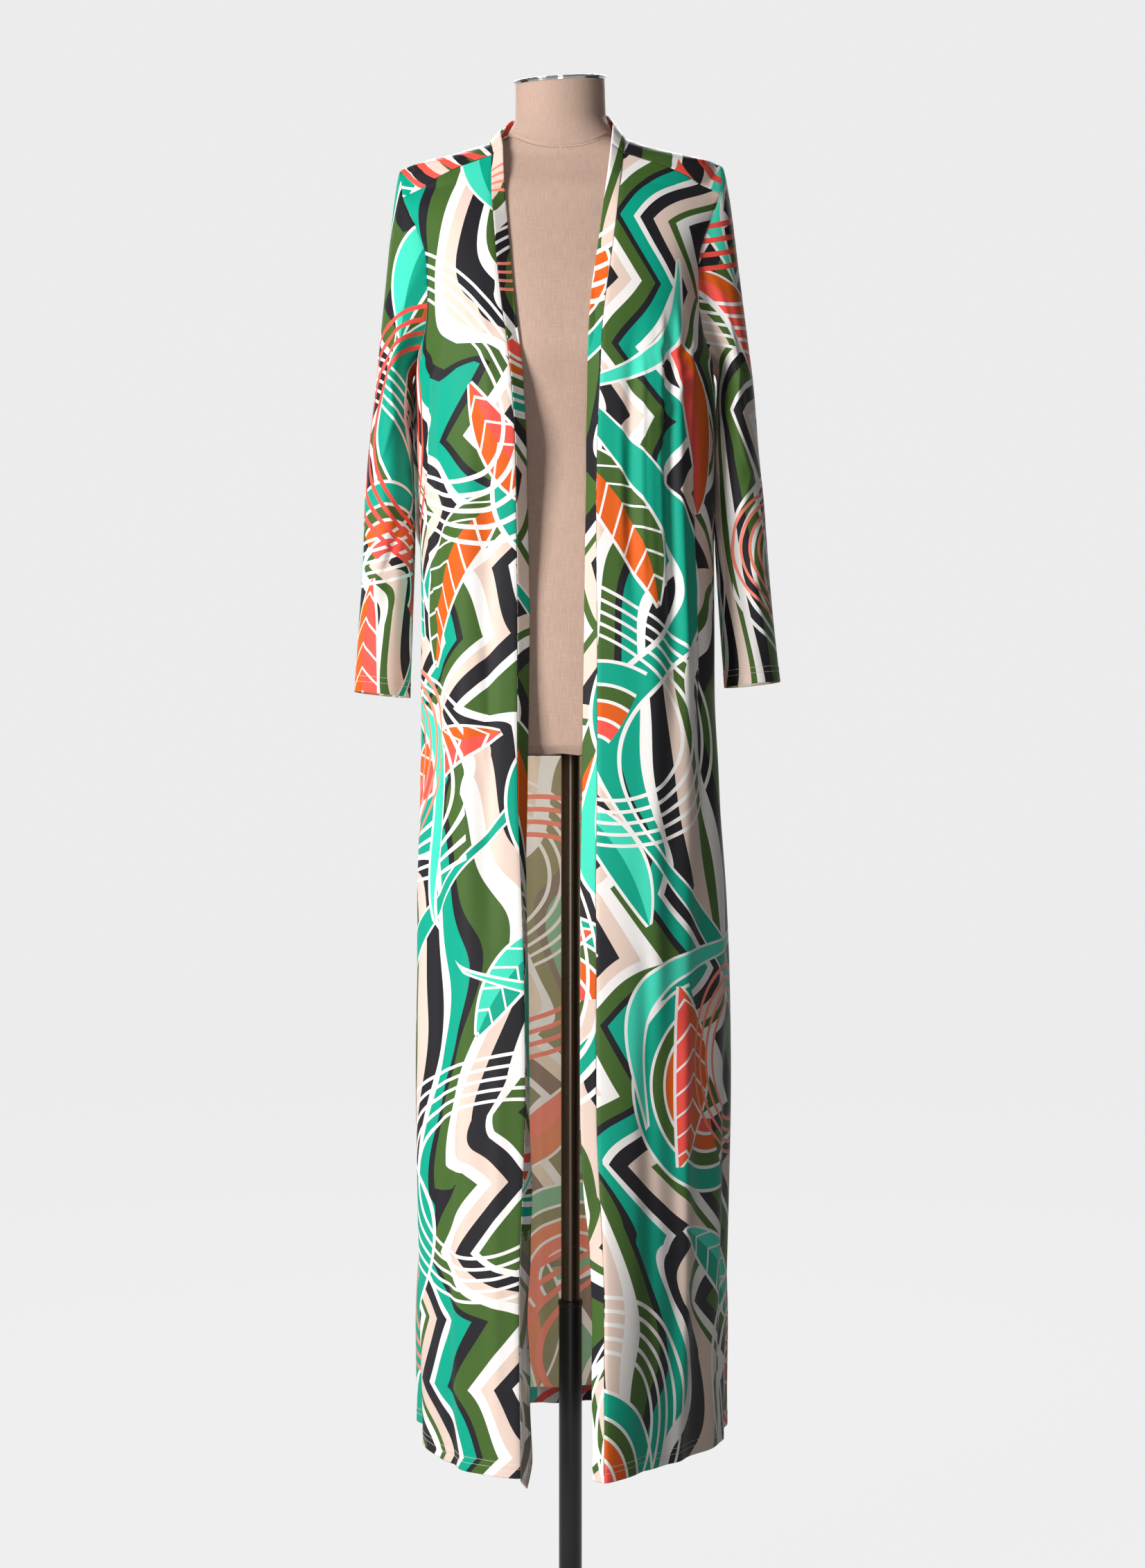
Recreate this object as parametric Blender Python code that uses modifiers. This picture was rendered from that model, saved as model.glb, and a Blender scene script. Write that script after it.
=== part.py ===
"""A long open kimono coat on a limbless dress form with a telescopic pole stand.

Metres, +Z up. The origin is the middle of the foot plate's underside, on the pole's axis.
The coat opens towards -Y. Left and right are the wearer's, so the right front is at -X.
Sizes along X are measured from the form's own middle line, which leans a little to the right.
"""

import math
from collections import namedtuple

import bmesh
import bpy
from mathutils import Vector

# Cloth walls and the gaps between neighbouring pieces
WALL = 0.0012
BAND_WALL = 0.0022
SEAM_GAP = 0.0005
SHOULDER_GAP = 0.0007
FORM_CLEARANCE = 0.0024
SHOULDER_CLEARANCE = 0.0052
SHOULDERS = 1.735
SHOULDER_BLEND = 0.020

# The stand
PLATE_RADIUS = 0.175
PLATE_THICKNESS = 0.006
PLATE_EDGE = 0.002
GRIP_TOP = 0.425
GRIP_LIP = 0.006
LOWER_POLE_RADIUS = 0.0138
LIP_RADIUS = 0.0148
UPPER_POLE_RADIUS = 0.0112
POLE_CLEARANCE = 0.0003
UPPER_POLE_FOOT = 0.210
POLE_IN_FORM = 0.120
REST_GAP = 0.0003
ROUND_SIDES = 32

AXES = (Vector((1, 0, 0)), Vector((0, 1, 0)), Vector((0, 0, 1)))

# The form
FORM_FOOT = 1.080
NECK_TOP = 1.891
NECK_TILT_START = 1.835
NECK_TILT_FORWARD = 0.22
NECK_TILT_SIDE = 0.047
LEAN_AT_NECK = -0.0125
SHOULDER_TILT = 0.013
TILT_START, TILT_SPAN = 1.640, 0.120
CAP_RADIUS = 0.0548
CAP_THICKNESS = 0.004

# The coat
HEM = 0.259
ARMPIT = 1.540
BODY_WIDE, BODY_DEEP = 3, 2
NECK_POINT = (0.0785, -0.047, 1.789)
BAND_WIDTH = 0.019
BAND_DROP = {"right": 0.014, "left": 0.001}
NECK_SHIFT = -0.0044
NECK_SHIFT_START, NECK_SHIFT_SPAN = 1.700, 0.080
NECK_SHIFT_REACH, NECK_SHIFT_FADE = 0.190, 0.110
NECK_COLUMNS = 7
CUFF_SLOPE = 0.0035

# How finely the surfaces are divided
FRONT_ACROSS, FRONT_ALONG = 16, 24
BACK_ACROSS, BACK_ALONG = 30, 30
SLEEVE_AROUND, SLEEVE_ALONG = 18, 17
BAND_ACROSS, NECK_ALONG = 2, 7
FORM_AROUND = 32

# Rings of the form, from its foot to the top of its neck. Square 2 is an ellipse.
FormRing = namedtuple("FormRing", "z half_x front_y back_y square")
FORM_RINGS = [
    FormRing(1.080, 0.150, -0.096, 0.108, 2.3),
    FormRing(1.092, 0.160, -0.103, 0.116, 2.3),
    FormRing(1.160, 0.166, -0.108, 0.121, 2.3),
    FormRing(1.230, 0.167, -0.109, 0.121, 2.3),
    FormRing(1.330, 0.146, -0.100, 0.100, 2.3),
    FormRing(1.430, 0.121, -0.090, 0.086, 2.3),
    FormRing(1.500, 0.131, -0.104, 0.090, 2.5),
    FormRing(1.560, 0.144, -0.121, 0.098, 2.6),
    FormRing(1.620, 0.154, -0.111, 0.104, 2.5),
    FormRing(1.680, 0.160, -0.092, 0.104, 2.4),
    FormRing(1.720, 0.168, -0.077, 0.097, 2.3),
    FormRing(1.750, 0.179, -0.067, 0.089, 2.2),
    FormRing(1.770, 0.183, -0.056, 0.081, 2.1),
    FormRing(1.783, 0.171, -0.050, 0.076, 2.0),
    FormRing(1.790, 0.148, -0.047, 0.073, 2.0),
    FormRing(1.797, 0.119, -0.046, 0.070, 2.0),
    FormRing(1.805, 0.0925, -0.046, 0.068, 2.0),
    FormRing(1.815, 0.072, -0.046, 0.066, 2.0),
    FormRing(1.828, 0.0625, -0.0465, 0.064, 2.0),
    FormRing(1.845, 0.0545, -0.046, 0.062, 2.0),
    FormRing(1.891, 0.0535, -0.046, 0.061, 2.0),
]

# Where the band is sewn to the two fronts, as a place along X, and how far the band turns
# away from the viewer there, in degrees.
FrontEdge = namedtuple("FrontEdge", "z right_x left_x right_turn left_turn")
FRONT_EDGES = [
    FrontEdge(0.259, -0.0532, 0.0383, 50, 46),
    FrontEdge(0.363, -0.0579, 0.0394, 51, 42),
    FrontEdge(0.519, -0.0580, 0.0371, 53, 38),
    FrontEdge(0.597, -0.0530, 0.0355, 60, 8),
    FrontEdge(0.675, -0.0514, 0.0300, 76, 6),
    FrontEdge(0.754, -0.0515, 0.0293, 78, 6),
    FrontEdge(0.911, -0.0556, 0.0294, 74, 16),
    FrontEdge(1.070, -0.0610, 0.0310, 50, 24),
    FrontEdge(1.228, -0.0610, 0.0310, 42, 36),
    FrontEdge(1.387, -0.0626, 0.0295, 46, 50),
    FrontEdge(1.466, -0.0650, 0.0327, 46, 44),
    FrontEdge(1.546, -0.0720, 0.0358, 38, 34),
    FrontEdge(1.586, -0.0778, 0.0383, 32, 28),
    FrontEdge(1.628, -0.0829, 0.0437, 30, 20),
    FrontEdge(1.671, -0.0873, 0.0498, 30, 20),
    FrontEdge(1.715, -0.0908, 0.0553, 30, 20),
    FrontEdge(1.761, -0.0938, 0.0602, 20, 20),
    FrontEdge(1.789, -0.0939, 0.0631, 10, 10),
]

# Sections of a front, from the band's seam to the side seam or armhole. Corner is how far
# across the section its bend lies, and full how square the bend is (0.7 is an ellipse).
FrontRow = namedtuple("FrontRow", "edge_z right_y left_y side_x side_y side_z corner right_full left_full")
FRONT_ROWS = [
    FrontRow(0.259, -0.163, -0.180, 0.180, 0.000, 0.259, 1.00, 0.50, 0.12),
    FrontRow(0.450, -0.158, -0.172, 0.184, 0.002, 0.450, 1.00, 0.70, 0.28),
    FrontRow(0.700, -0.150, -0.160, 0.189, 0.004, 0.700, 1.00, 0.84, 0.50),
    FrontRow(0.900, -0.142, -0.147, 0.185, 0.005, 0.900, 1.00, 0.94, 0.75),
    FrontRow(1.045, -0.136, -0.138, 0.177, 0.006, 1.045, 1.00, 1.02, 0.98),
    FrontRow(1.150, -0.132, -0.132, 0.174, 0.006, 1.150, 1.00, 1.06, 1.06),
    FrontRow(1.230, -0.130, -0.130, 0.175, 0.006, 1.230, 1.00, 1.08, 1.08),
    FrontRow(1.330, -0.130, -0.130, 0.176, 0.006, 1.330, 1.00, 1.05, 1.05),
    FrontRow(1.430, -0.131, -0.131, 0.178, 0.006, 1.430, 1.00, 1.00, 1.00),
    FrontRow(1.500, -0.132, -0.132, 0.179, 0.006, 1.500, 1.00, 1.00, 1.00),
    FrontRow(1.540, -0.132, -0.132, 0.179, 0.006, 1.540, 1.00, 1.00, 1.00),
    FrontRow(1.553, -0.131, -0.131, 0.175, -0.022, 1.553, 0.97, 1.00, 1.00),
    FrontRow(1.577, -0.128, -0.128, 0.165, -0.046, 1.577, 0.93, 0.98, 0.98),
    FrontRow(1.615, -0.121, -0.121, 0.160, -0.056, 1.615, 0.88, 0.95, 0.95),
    FrontRow(1.664, -0.107, -0.107, 0.161, -0.057, 1.660, 0.82, 0.90, 0.90),
    FrontRow(1.708, -0.090, -0.090, 0.171, -0.051, 1.698, 0.74, 0.85, 0.85),
    FrontRow(1.745, -0.072, -0.072, 0.182, -0.043, 1.724, 0.66, 0.80, 0.80),
    FrontRow(1.789, -0.047, -0.047, 0.190, -0.034, 1.744, 0.50, 0.80, 0.80),
]

# Sections of the back, from a side seam or armhole to the middle of the back
BackRow = namedtuple("BackRow", "side_x side_y side_z mid_y mid_z corner fullness")
BACK_ROWS = [
    BackRow(0.180, 0.000, 0.259, 0.160, 0.259, 1.06, 1.20),
    BackRow(0.184, 0.002, 0.450, 0.152, 0.450, 1.03, 1.05),
    BackRow(0.189, 0.004, 0.700, 0.145, 0.700, 1.00, 0.95),
    BackRow(0.185, 0.005, 0.900, 0.139, 0.900, 1.00, 0.98),
    BackRow(0.177, 0.006, 1.045, 0.134, 1.045, 1.00, 1.02),
    BackRow(0.174, 0.006, 1.150, 0.131, 1.150, 1.00, 1.06),
    BackRow(0.175, 0.006, 1.230, 0.129, 1.230, 1.00, 1.08),
    BackRow(0.176, 0.006, 1.330, 0.123, 1.330, 1.00, 1.05),
    BackRow(0.178, 0.006, 1.430, 0.117, 1.430, 1.00, 1.00),
    BackRow(0.179, 0.006, 1.500, 0.114, 1.500, 1.00, 1.00),
    BackRow(0.179, 0.006, 1.540, 0.113, 1.540, 1.00, 1.00),
    BackRow(0.178, 0.030, 1.553, 0.113, 1.553, 1.00, 1.00),
    BackRow(0.173, 0.050, 1.577, 0.113, 1.577, 0.98, 1.00),
    BackRow(0.170, 0.061, 1.615, 0.113, 1.615, 0.94, 0.98),
    BackRow(0.169, 0.064, 1.660, 0.113, 1.664, 0.90, 0.95),
    BackRow(0.175, 0.058, 1.705, 0.110, 1.716, 0.86, 0.90),
    BackRow(0.186, 0.038, 1.748, 0.102, 1.765, 0.80, 0.80),
]

# The three topmost sections of the back: behind the ridge of the shoulders, over it, and the
# piece's edge, which is the shoulder seam in front of the ridge and the back of the neckline.
# Bend_z is how high the section's bend beside the neck reaches for.
ShoulderRow = namedtuple("ShoulderRow", "further tip neck bend_z middle")
SHOULDER_ROWS = [
    ShoulderRow(0.025, (0.191, 0.022, 1.775), (0.103, 0.042, 1.803), 1.794, (0, 0.093, 1.789)),
    ShoulderRow(0.050, (0.193, 0.003, 1.787), (0.095, 0.004, 1.815), 1.820, (0, 0.082, 1.812)),
    ShoulderRow(0.100, (0.190, -0.034, 1.744), NECK_POINT, 1.862, (0, 0.071, 1.838)),
]

# Long soft folds of the coat: ridges stand out and troughs, with a negative depth, go in.
# Across is measured along the cloth from the band's seam or, on the back, from the middle.
Fold = namedtuple("Fold", "piece across_high across_low high low width depth")
FOLDS = [
    Fold("front_right", 0.034, 0.040, 1.520, 0.800, 0.012, -0.0050),
    Fold("front_right", 0.060, 0.075, 1.480, 0.259, 0.022, 0.0060),
    Fold("front_right", 0.105, 0.120, 1.500, 0.500, 0.014, -0.0050),
    Fold("front_right", 0.150, 0.165, 1.300, 0.259, 0.024, 0.0055),
    Fold("front_left", 0.036, 0.046, 1.620, 1.180, 0.010, -0.0050),
    Fold("front_left", 0.058, 0.072, 1.620, 0.700, 0.013, 0.0045),
    Fold("front_left", 0.078, 0.096, 1.600, 1.060, 0.010, -0.0060),
    Fold("front_left", 0.100, 0.122, 1.580, 0.259, 0.015, 0.0050),
    Fold("front_left", 0.124, 0.148, 1.560, 0.900, 0.012, -0.0055),
    Fold("front_left", 0.170, 0.185, 1.200, 0.259, 0.024, 0.0050),
    Fold("back", -0.205, -0.215, 0.950, 0.259, 0.030, 0.0100),
    Fold("back", -0.220, -0.222, 0.520, 0.259, 0.026, 0.0080),
    Fold("back", -0.130, -0.140, 1.400, 0.259, 0.020, -0.0060),
    Fold("back", -0.075, -0.085, 1.600, 0.259, 0.022, 0.0050),
    Fold("back", -0.012, -0.020, 1.500, 0.259, 0.020, -0.0055),
    Fold("back", 0.060, 0.066, 1.580, 0.259, 0.022, 0.0050),
    Fold("back", 0.120, 0.132, 1.380, 0.259, 0.018, -0.0060),
    Fold("back", 0.200, 0.212, 0.950, 0.259, 0.030, 0.0080),
    Fold("back", 0.218, 0.220, 0.520, 0.259, 0.026, 0.0055),
]
FADE = 0.150

# Sections of a sleeve below the armhole
SleeveRing = namedtuple("SleeveRing", "z middle_x middle_y half_x half_y")
SLEEVE_RINGS = [
    SleeveRing(1.530, 0.2062, 0.004, 0.0208, 0.070),
    SleeveRing(1.440, 0.2085, 0.002, 0.0245, 0.063),
    SleeveRing(1.350, 0.2115, 0.000, 0.0285, 0.056),
    SleeveRing(1.250, 0.2160, -0.002, 0.0313, 0.050),
    SleeveRing(1.158, 0.2222, -0.004, 0.0330, 0.044),
]
CUFF_Z = {"right": 1.152, "left": 1.164}
SLEEVE_SHIFT = -0.0026
SIDE_SIGN = {"right": -1, "left": 1}
CAP_SHARE = 0.40

# Soft bends of the empty sleeves. Turn is round the sleeve from its inner side, in degrees.
SleeveFold = namedtuple("SleeveFold", "turn_high turn_low high low width depth")
SLEEVE_FOLDS = [
    SleeveFold(80, 130, 1.640, 1.440, 18, -0.0040),
    SleeveFold(150, 110, 1.420, 1.250, 20, 0.0030),
    SleeveFold(60, 95, 1.400, 1.200, 16, -0.0035),
    SleeveFold(260, 230, 1.560, 1.300, 20, -0.0040),
    SleeveFold(300, 270, 1.350, 1.180, 20, 0.0030),
]
SLEEVE_FADE = 0.060

# How the band stands round the neck, from a shoulder seam to the middle of the back: the
# reach goes from the seam to the band's free edge.
NeckStation = namedtuple("NeckStation", "along reach")
NECK_STATIONS = [
    NeckStation(0.00, Vector((-0.0145, -0.0030, 0.0125))),
    NeckStation(0.35, Vector((-0.0110, 0.0000, 0.0165))),
    NeckStation(0.70, Vector((-0.0050, -0.0050, 0.0190))),
    NeckStation(1.00, Vector((0.0000, -0.0045, 0.0195))),
]


def gentle(before, after):
    """A slope between two others that lets a curve pass no value it runs through."""
    if isinstance(before, Vector):
        return Vector([gentle(a, b) for a, b in zip(before, after)])
    return 2 * before * after / (before + after) if before * after > 0 else 0.0


def smooth(places, values, at):
    """Reads a smooth curve through values, numbers or vectors, held level past its ends."""
    if at <= places[0]:
        return values[0]
    if at >= places[-1]:
        return values[-1]
    i = max(k for k in range(len(places) - 1) if places[k] <= at)

    def rise(k):
        k = min(max(k, 0), len(places) - 2)
        return (values[k + 1] - values[k]) / (places[k + 1] - places[k])

    span = places[i + 1] - places[i]
    t = (at - places[i]) / span
    start, end = (2 * t**3 - 3 * t**2 + 1), (3 * t**2 - 2 * t**3)
    leave, arrive = (t**3 - 2 * t**2 + t) * span, (t**3 - t**2) * span
    slope_here, slope_next = gentle(rise(i - 1), rise(i)), gentle(rise(i), rise(i + 1))
    return values[i] * start + values[i + 1] * end + slope_here * leave + slope_next * arrive


def column(table, name):
    return [getattr(row, name) for row in table]


def ease(share):
    """A soft step from 0 to 1."""
    share = min(max(share, 0.0), 1.0)
    return share * share * (3 - 2 * share)


def lean(z):
    """How far the form's middle line stands to the side of the pole at a height."""
    return LEAN_AT_NECK * min(max((z - FORM_FOOT) / (NECK_TOP - FORM_FOOT), -0.30), 1.0)


def leaned(point):
    """Moves a point to the leaning middle line, with the left shoulder a little higher."""
    tilt = SHOULDER_TILT * point.x * ease((point.z - TILT_START) / TILT_SPAN)
    return Vector((point.x + lean(point.z), point.y, point.z + tilt))


def mirrored(point, sign):
    return Vector((point.x * sign, point.y, point.z))


def neck_shifted(point):
    """The coat hangs a little to the right round the neck."""
    high = ease((point.z - NECK_SHIFT_START) / NECK_SHIFT_SPAN)
    near = high * ease((NECK_SHIFT_REACH - abs(point.x)) / NECK_SHIFT_FADE)
    return point + Vector((NECK_SHIFT * near, 0, 0))


def conic(start, corner, end, fullness, share):
    """A point on the bend from start to end that leans towards corner."""
    a, b, c = (1 - share) ** 2, 2 * fullness * share * (1 - share), share**2
    return (start * a + corner * b + end * c) / (a + b + c)


def spaced(points, shares):
    """Points at the given shares of a line's length, and that length."""
    lengths = [0.0]
    for before, after in zip(points, points[1:]):
        lengths.append(lengths[-1] + (after - before).length)
    found = []
    for share in shares:
        wanted = share * lengths[-1]
        i = max(k for k in range(len(points) - 1) if lengths[k] <= wanted + 1e-9)
        part = (wanted - lengths[i]) / (lengths[i + 1] - lengths[i])
        found.append(points[i].lerp(points[i + 1], part))
    return found, lengths[-1]


def bend(start, corner, end, fullness, steps=40):
    return [conic(start, corner, end, fullness, k / steps) for k in range(steps + 1)]


def form_section(z):
    """Half width, depth in front, depth behind and squareness of the form at a height."""
    heights = column(FORM_RINGS, "z")
    return [smooth(heights, column(FORM_RINGS, name), z) for name in FormRing._fields[1:]]


def form_field(point):
    """0 on the form's surface, and negative inside it."""
    half_x, front_y, back_y, square = form_section(point.z)
    depth = front_y if point.y < 0 else back_y
    along_x, along_y = abs(point.x / half_x), abs(point.y / depth)
    return (along_x**square + along_y**square) ** (1 / square) - 1


def off_form(point, half_wall=WALL / 2):
    """Moves a point of cloth out until it clears the form."""
    over = ease((point.z - SHOULDERS) / SHOULDER_BLEND)
    clearance = FORM_CLEARANCE + (SHOULDER_CLEARANCE - FORM_CLEARANCE) * over + half_wall
    step = 0.0005
    for _ in range(8):
        field = form_field(point)
        gradient = Vector([form_field(point + axis * step) - field for axis in AXES]) / step
        distance = field / gradient.length
        if distance >= clearance:
            break
        point = point + gradient.normalized() * (clearance - distance)
    return point


def folded(point, piece, across):
    """Moves a point of the coat out or in by the long folds that cross it there."""
    outward = Vector((point.x / BODY_WIDE, point.y / BODY_DEEP, 0)).normalized()
    moved = 0.0
    for fold in FOLDS:
        if fold.piece != piece:
            continue
        down = min(max((fold.high - point.z) / (fold.high - fold.low), 0.0), 1.0)
        middle = fold.across_high + (fold.across_low - fold.across_high) * down
        fade = ease((fold.high - point.z) / FADE)
        if fold.low > HEM:
            fade *= ease((point.z - fold.low) / FADE)
        moved += fold.depth * fade * math.exp(-(((across - middle) / fold.width) ** 2))
    return point + outward * moved


def spaced_rows(v):
    """Row spacing: wide down the skirt, and close from the armpit up."""
    return 1 - (1 - v) * (0.45 + 0.55 * (1 - v))


class Panel:
    """A piece of cloth lofted through sections, each a list of points at the same shares."""

    def __init__(self, piece, sections, heights, lengths, from_middle=False):
        self.piece, self.sections, self.heights, self.lengths = piece, sections, heights, lengths
        self.from_middle = from_middle

    def height(self, v):
        """The height of the row v of the way up, the last of them just short of the shoulder seam."""
        return self.heights[0] + (self.heights[-1] - SHOULDER_GAP - self.heights[0]) * spaced_rows(v)

    def seam(self, v):
        """The first column's place v of the way up, before the form's lean."""
        return smooth(self.heights, [section[0] for section in self.sections], self.height(v))

    def at(self, i, share, v):
        """The point of column i, which lies at that share across, v of the way up."""
        return leaned(self.unleaned(i, share, v))

    def unleaned(self, i, share, v):
        height = self.height(v)
        point = smooth(self.heights, [section[i] for section in self.sections], height)
        length = smooth(self.heights, self.lengths, height)
        across = (share - 0.5) * length if self.from_middle else share * length
        return off_form(folded(point, self.piece, across))

    def edge(self, i, share, steps=240):
        """Points up column i from the armpit to the shoulder seam."""
        points = [self.unleaned(i, share, k / steps) for k in range(steps // 2, steps + 1)]
        return [point for point in points if point.z >= ARMPIT]


def front_edge(side, z):
    """Where the band's seam runs on a front, from the form's own middle line."""
    place = smooth(column(FRONT_EDGES, "z"), column(FRONT_EDGES, side + "_x"), z)
    return place - lean(z)


def trimmed_shares(count, length):
    """Evenly spaced shares that stop half a seam gap short at each end."""
    trim = SEAM_GAP / 2 / length
    return [trim + (1 - 2 * trim) * k / count for k in range(count + 1)]


def front_panel(side):
    sign = SIDE_SIGN[side]
    sections, lengths = [], []
    for row in FRONT_ROWS:
        edge_y, full = getattr(row, side + "_y"), getattr(row, side + "_full")
        edge = Vector((front_edge(side, row.edge_z), edge_y, row.edge_z))
        end = Vector((row.side_x * sign, row.side_y, row.side_z))
        corner = Vector((edge.x + (end.x - edge.x) * row.corner, edge_y, (edge.z + end.z) / 2))
        if row is FRONT_ROWS[-1]:
            corner = edge.lerp(end, row.corner)
        line = bend(edge, corner, end, full)
        length = spaced(line, [0])[1]
        sections.append(spaced(line, trimmed_shares(FRONT_ACROSS, length))[0])
        lengths.append(length)
    heights = [(row.edge_z + row.side_z) / 2 for row in FRONT_ROWS]
    return Panel("front_" + side, sections, heights, lengths)


def half_back_lines():
    """The back's sections for the left half, from the side to the middle."""
    lines = []
    for row in BACK_ROWS:
        side = Vector((row.side_x, row.side_y, row.side_z))
        middle = Vector((0, row.mid_y, row.mid_z))
        corner = Vector((row.side_x * row.corner, row.mid_y, (row.side_z + row.mid_z) / 2))
        lines.append(bend(side, corner, middle, row.fullness))
    return lines


def behind_neck(row):
    neck, middle = Vector(row.neck), Vector(row.middle)
    corner = Vector((neck.x * 1.04, middle.y, row.bend_z))
    return bend(neck, corner, middle, 0.9)


def shoulder_points(row, half):
    """A topmost section: straight from the shoulder's tip to the neck, then round behind it."""
    out = half - NECK_COLUMNS
    points = [Vector(row.tip).lerp(Vector(row.neck), k / out) for k in range(out)]
    return points + spaced(behind_neck(row), [k / NECK_COLUMNS for k in range(NECK_COLUMNS + 1)])[0]


def back_panel():
    half = BACK_ACROSS // 2
    halves, lengths = [], []
    for line in half_back_lines():
        length = spaced(line, [0])[1]
        trim = SEAM_GAP / 2 / length
        shares = [trim + (1 - trim) * k / half for k in range(half + 1)]
        halves.append(spaced(line, shares)[0])
        lengths.append(2 * length)
    for row in SHOULDER_ROWS:
        halves.append(shoulder_points(row, half))
        lengths.append(lengths[-1])
    sections = [[mirrored(p, -1) for p in section] + list(reversed(section))[1:] for section in halves]
    sections = [[neck_shifted(p) for p in section] for section in sections]
    heights = [(row.side_z + row.mid_z) / 2 for row in BACK_ROWS]
    heights += [heights[-1] + row.further for row in SHOULDER_ROWS]
    return Panel("back", sections, heights, lengths, from_middle=True)


def armhole(side):
    """The closed line where a sleeve is sewn in, from the armpit up the front and down the back."""
    front = front_panel(side).edge(FRONT_ACROSS, 1.0)
    back = back_panel().edge(0 if side == "right" else BACK_ACROSS, 0.0 if side == "right" else 1.0)
    return front + list(reversed(back)) + front[:1]


def sleeve_place(side):
    """Gives the point of a sleeve at share u round it, from the inner side, and v down it."""
    sign = SIDE_SIGN[side]
    around = [k / SLEEVE_AROUND for k in range(SLEEVE_AROUND + 1)]
    loop = spaced(armhole(side), around)[0]
    heights = [-ring.z for ring in SLEEVE_RINGS[:-1]] + [-CUFF_Z[side]]

    def ring_point(turn, z):
        read = [smooth(heights, column(SLEEVE_RINGS, name), -z) for name in SleeveRing._fields[1:]]
        middle_x, middle_y, half_x, half_y = read
        swell = sleeve_fold(math.degrees(turn) % 360, z)
        across = (half_x + swell) * -math.cos(turn)
        forward = (half_y + swell) * -math.sin(turn)
        slope = CUFF_SLOPE * -math.cos(turn) * ease((SLEEVE_RINGS[0].z - z) / 0.2)
        shift = SLEEVE_SHIFT * ease((SLEEVE_RINGS[0].z - z) / 0.1)
        return Vector((sign * (middle_x + across) + shift, middle_y + forward, z + slope))

    def place(u, v):
        turn = 2 * math.pi * u
        seam = loop[round(u * SLEEVE_AROUND) % SLEEVE_AROUND]
        rise = (1 - math.cos(turn)) / 2
        away = SEAM_GAP + WALL * (1.1 + 0.9 * (1 - rise))
        start = seam + Vector((sign * away, 0, 0))
        top_ring = SLEEVE_RINGS[0].z
        if v <= CAP_SHARE:
            out = Vector((sign * (0.30 + 0.35 * rise), -0.35 * math.sin(turn), -0.95 + 0.20 * rise))
            end = ring_point(turn, top_ring)
            first = start + out.normalized() * (0.004 + 0.010 * rise)
            last = end + Vector((-sign * 0.12 * rise, 0, 1)) * 0.45 * (start.z - end.z)
            s = v / CAP_SHARE
            near, far = 3 * s * (1 - s) ** 2, 3 * s * s * (1 - s)
            point = start * (1 - s) ** 3 + first * near + last * far + end * s**3
        else:
            z = top_ring + (CUFF_Z[side] - top_ring) * (v - CAP_SHARE) / (1 - CAP_SHARE)
            point = ring_point(turn, z)
        return leaned(point)

    return place


def sleeve_fold(turn, z):
    """How far the sleeve's folds move its wall out at a turn in degrees and a height."""
    moved = 0.0
    for fold in SLEEVE_FOLDS:
        down = min(max((fold.high - z) / (fold.high - fold.low), 0.0), 1.0)
        middle = fold.turn_high + (fold.turn_low - fold.turn_high) * down
        fade = ease((fold.high - z) / SLEEVE_FADE) * ease((z - fold.low) / SLEEVE_FADE)
        moved += fold.depth * fade * math.exp(-(((turn - middle) / fold.width) ** 2))
    return moved


def band_place(side):
    """Gives the point of a band at share u of its width and v along it, from the hem up."""
    sign = SIDE_SIGN[side]
    front = front_panel(side)
    turns = column(FRONT_EDGES, side + "_turn")
    along = column(NECK_STATIONS, "along")
    neck = spaced(behind_neck(SHOULDER_ROWS[-1]), [k / NECK_ALONG for k in range(NECK_ALONG + 1)])[0]

    def place(u, v):
        row = round(v * (FRONT_ALONG + NECK_ALONG))
        if row < FRONT_ALONG:
            seam = front.seam(row / FRONT_ALONG)
            turn = math.radians(smooth(column(FRONT_EDGES, "z"), turns, seam.z))
            flat = Vector((-sign * math.cos(turn), math.sin(turn), 0)) * BAND_WIDTH
            near_neck = ease((seam.z - NECK_SHIFT_START) / (NECK_POINT[2] - NECK_SHIFT_START))
            reach = flat.lerp(mirrored(NECK_STATIONS[0].reach, sign), near_neck)
            seam.x -= sign * BAND_WALL / 2 * math.sin(turn)
            if row == 0:
                seam.z -= BAND_DROP[side] * (0.2 + 0.8 * u)
        else:
            k = row - FRONT_ALONG
            seam = neck_shifted(mirrored(neck[k], sign))
            reach = mirrored(smooth(along, column(NECK_STATIONS, "reach"), k / NECK_ALONG), sign)
            if k == NECK_ALONG:
                seam.x += sign * SEAM_GAP
        seam = off_form(seam)
        return leaned(off_form(seam + reach.normalized() * SEAM_GAP + reach * u, BAND_WALL / 2))

    return place


def form_rows():
    """Heights of the form's rows: its rings, with one more between those far apart."""
    heights = column(FORM_RINGS, "z")
    rows = []
    for low, high in zip(heights, heights[1:]):
        rows += [low] if high - low < 0.030 else [low, (low + high) / 2]
    return rows + [heights[-1]]


def form_place(u, v):
    """The form's surface at share u round it and v up it."""
    rows = form_rows()
    z = rows[round(v * (len(rows) - 1))]
    half_x, front_y, back_y, square = form_section(z)
    turn = 2 * math.pi * u
    across, ahead = math.sin(turn), -math.cos(turn)
    depth = -front_y if ahead < 0 else back_y
    x = half_x * math.copysign(abs(across) ** (2 / square), across)
    y = depth * math.copysign(abs(ahead) ** (2 / square), ahead)
    tilt = ease((z - NECK_TILT_START) / (NECK_TOP - NECK_TILT_START))
    z += tilt * (NECK_TILT_FORWARD * (y - 0.008) + NECK_TILT_SIDE * x)
    return leaned(Vector((x, y, z)))


def collection(name):
    made = bpy.data.collections.new(name)
    bpy.context.scene.collection.children.link(made)
    return made


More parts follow.
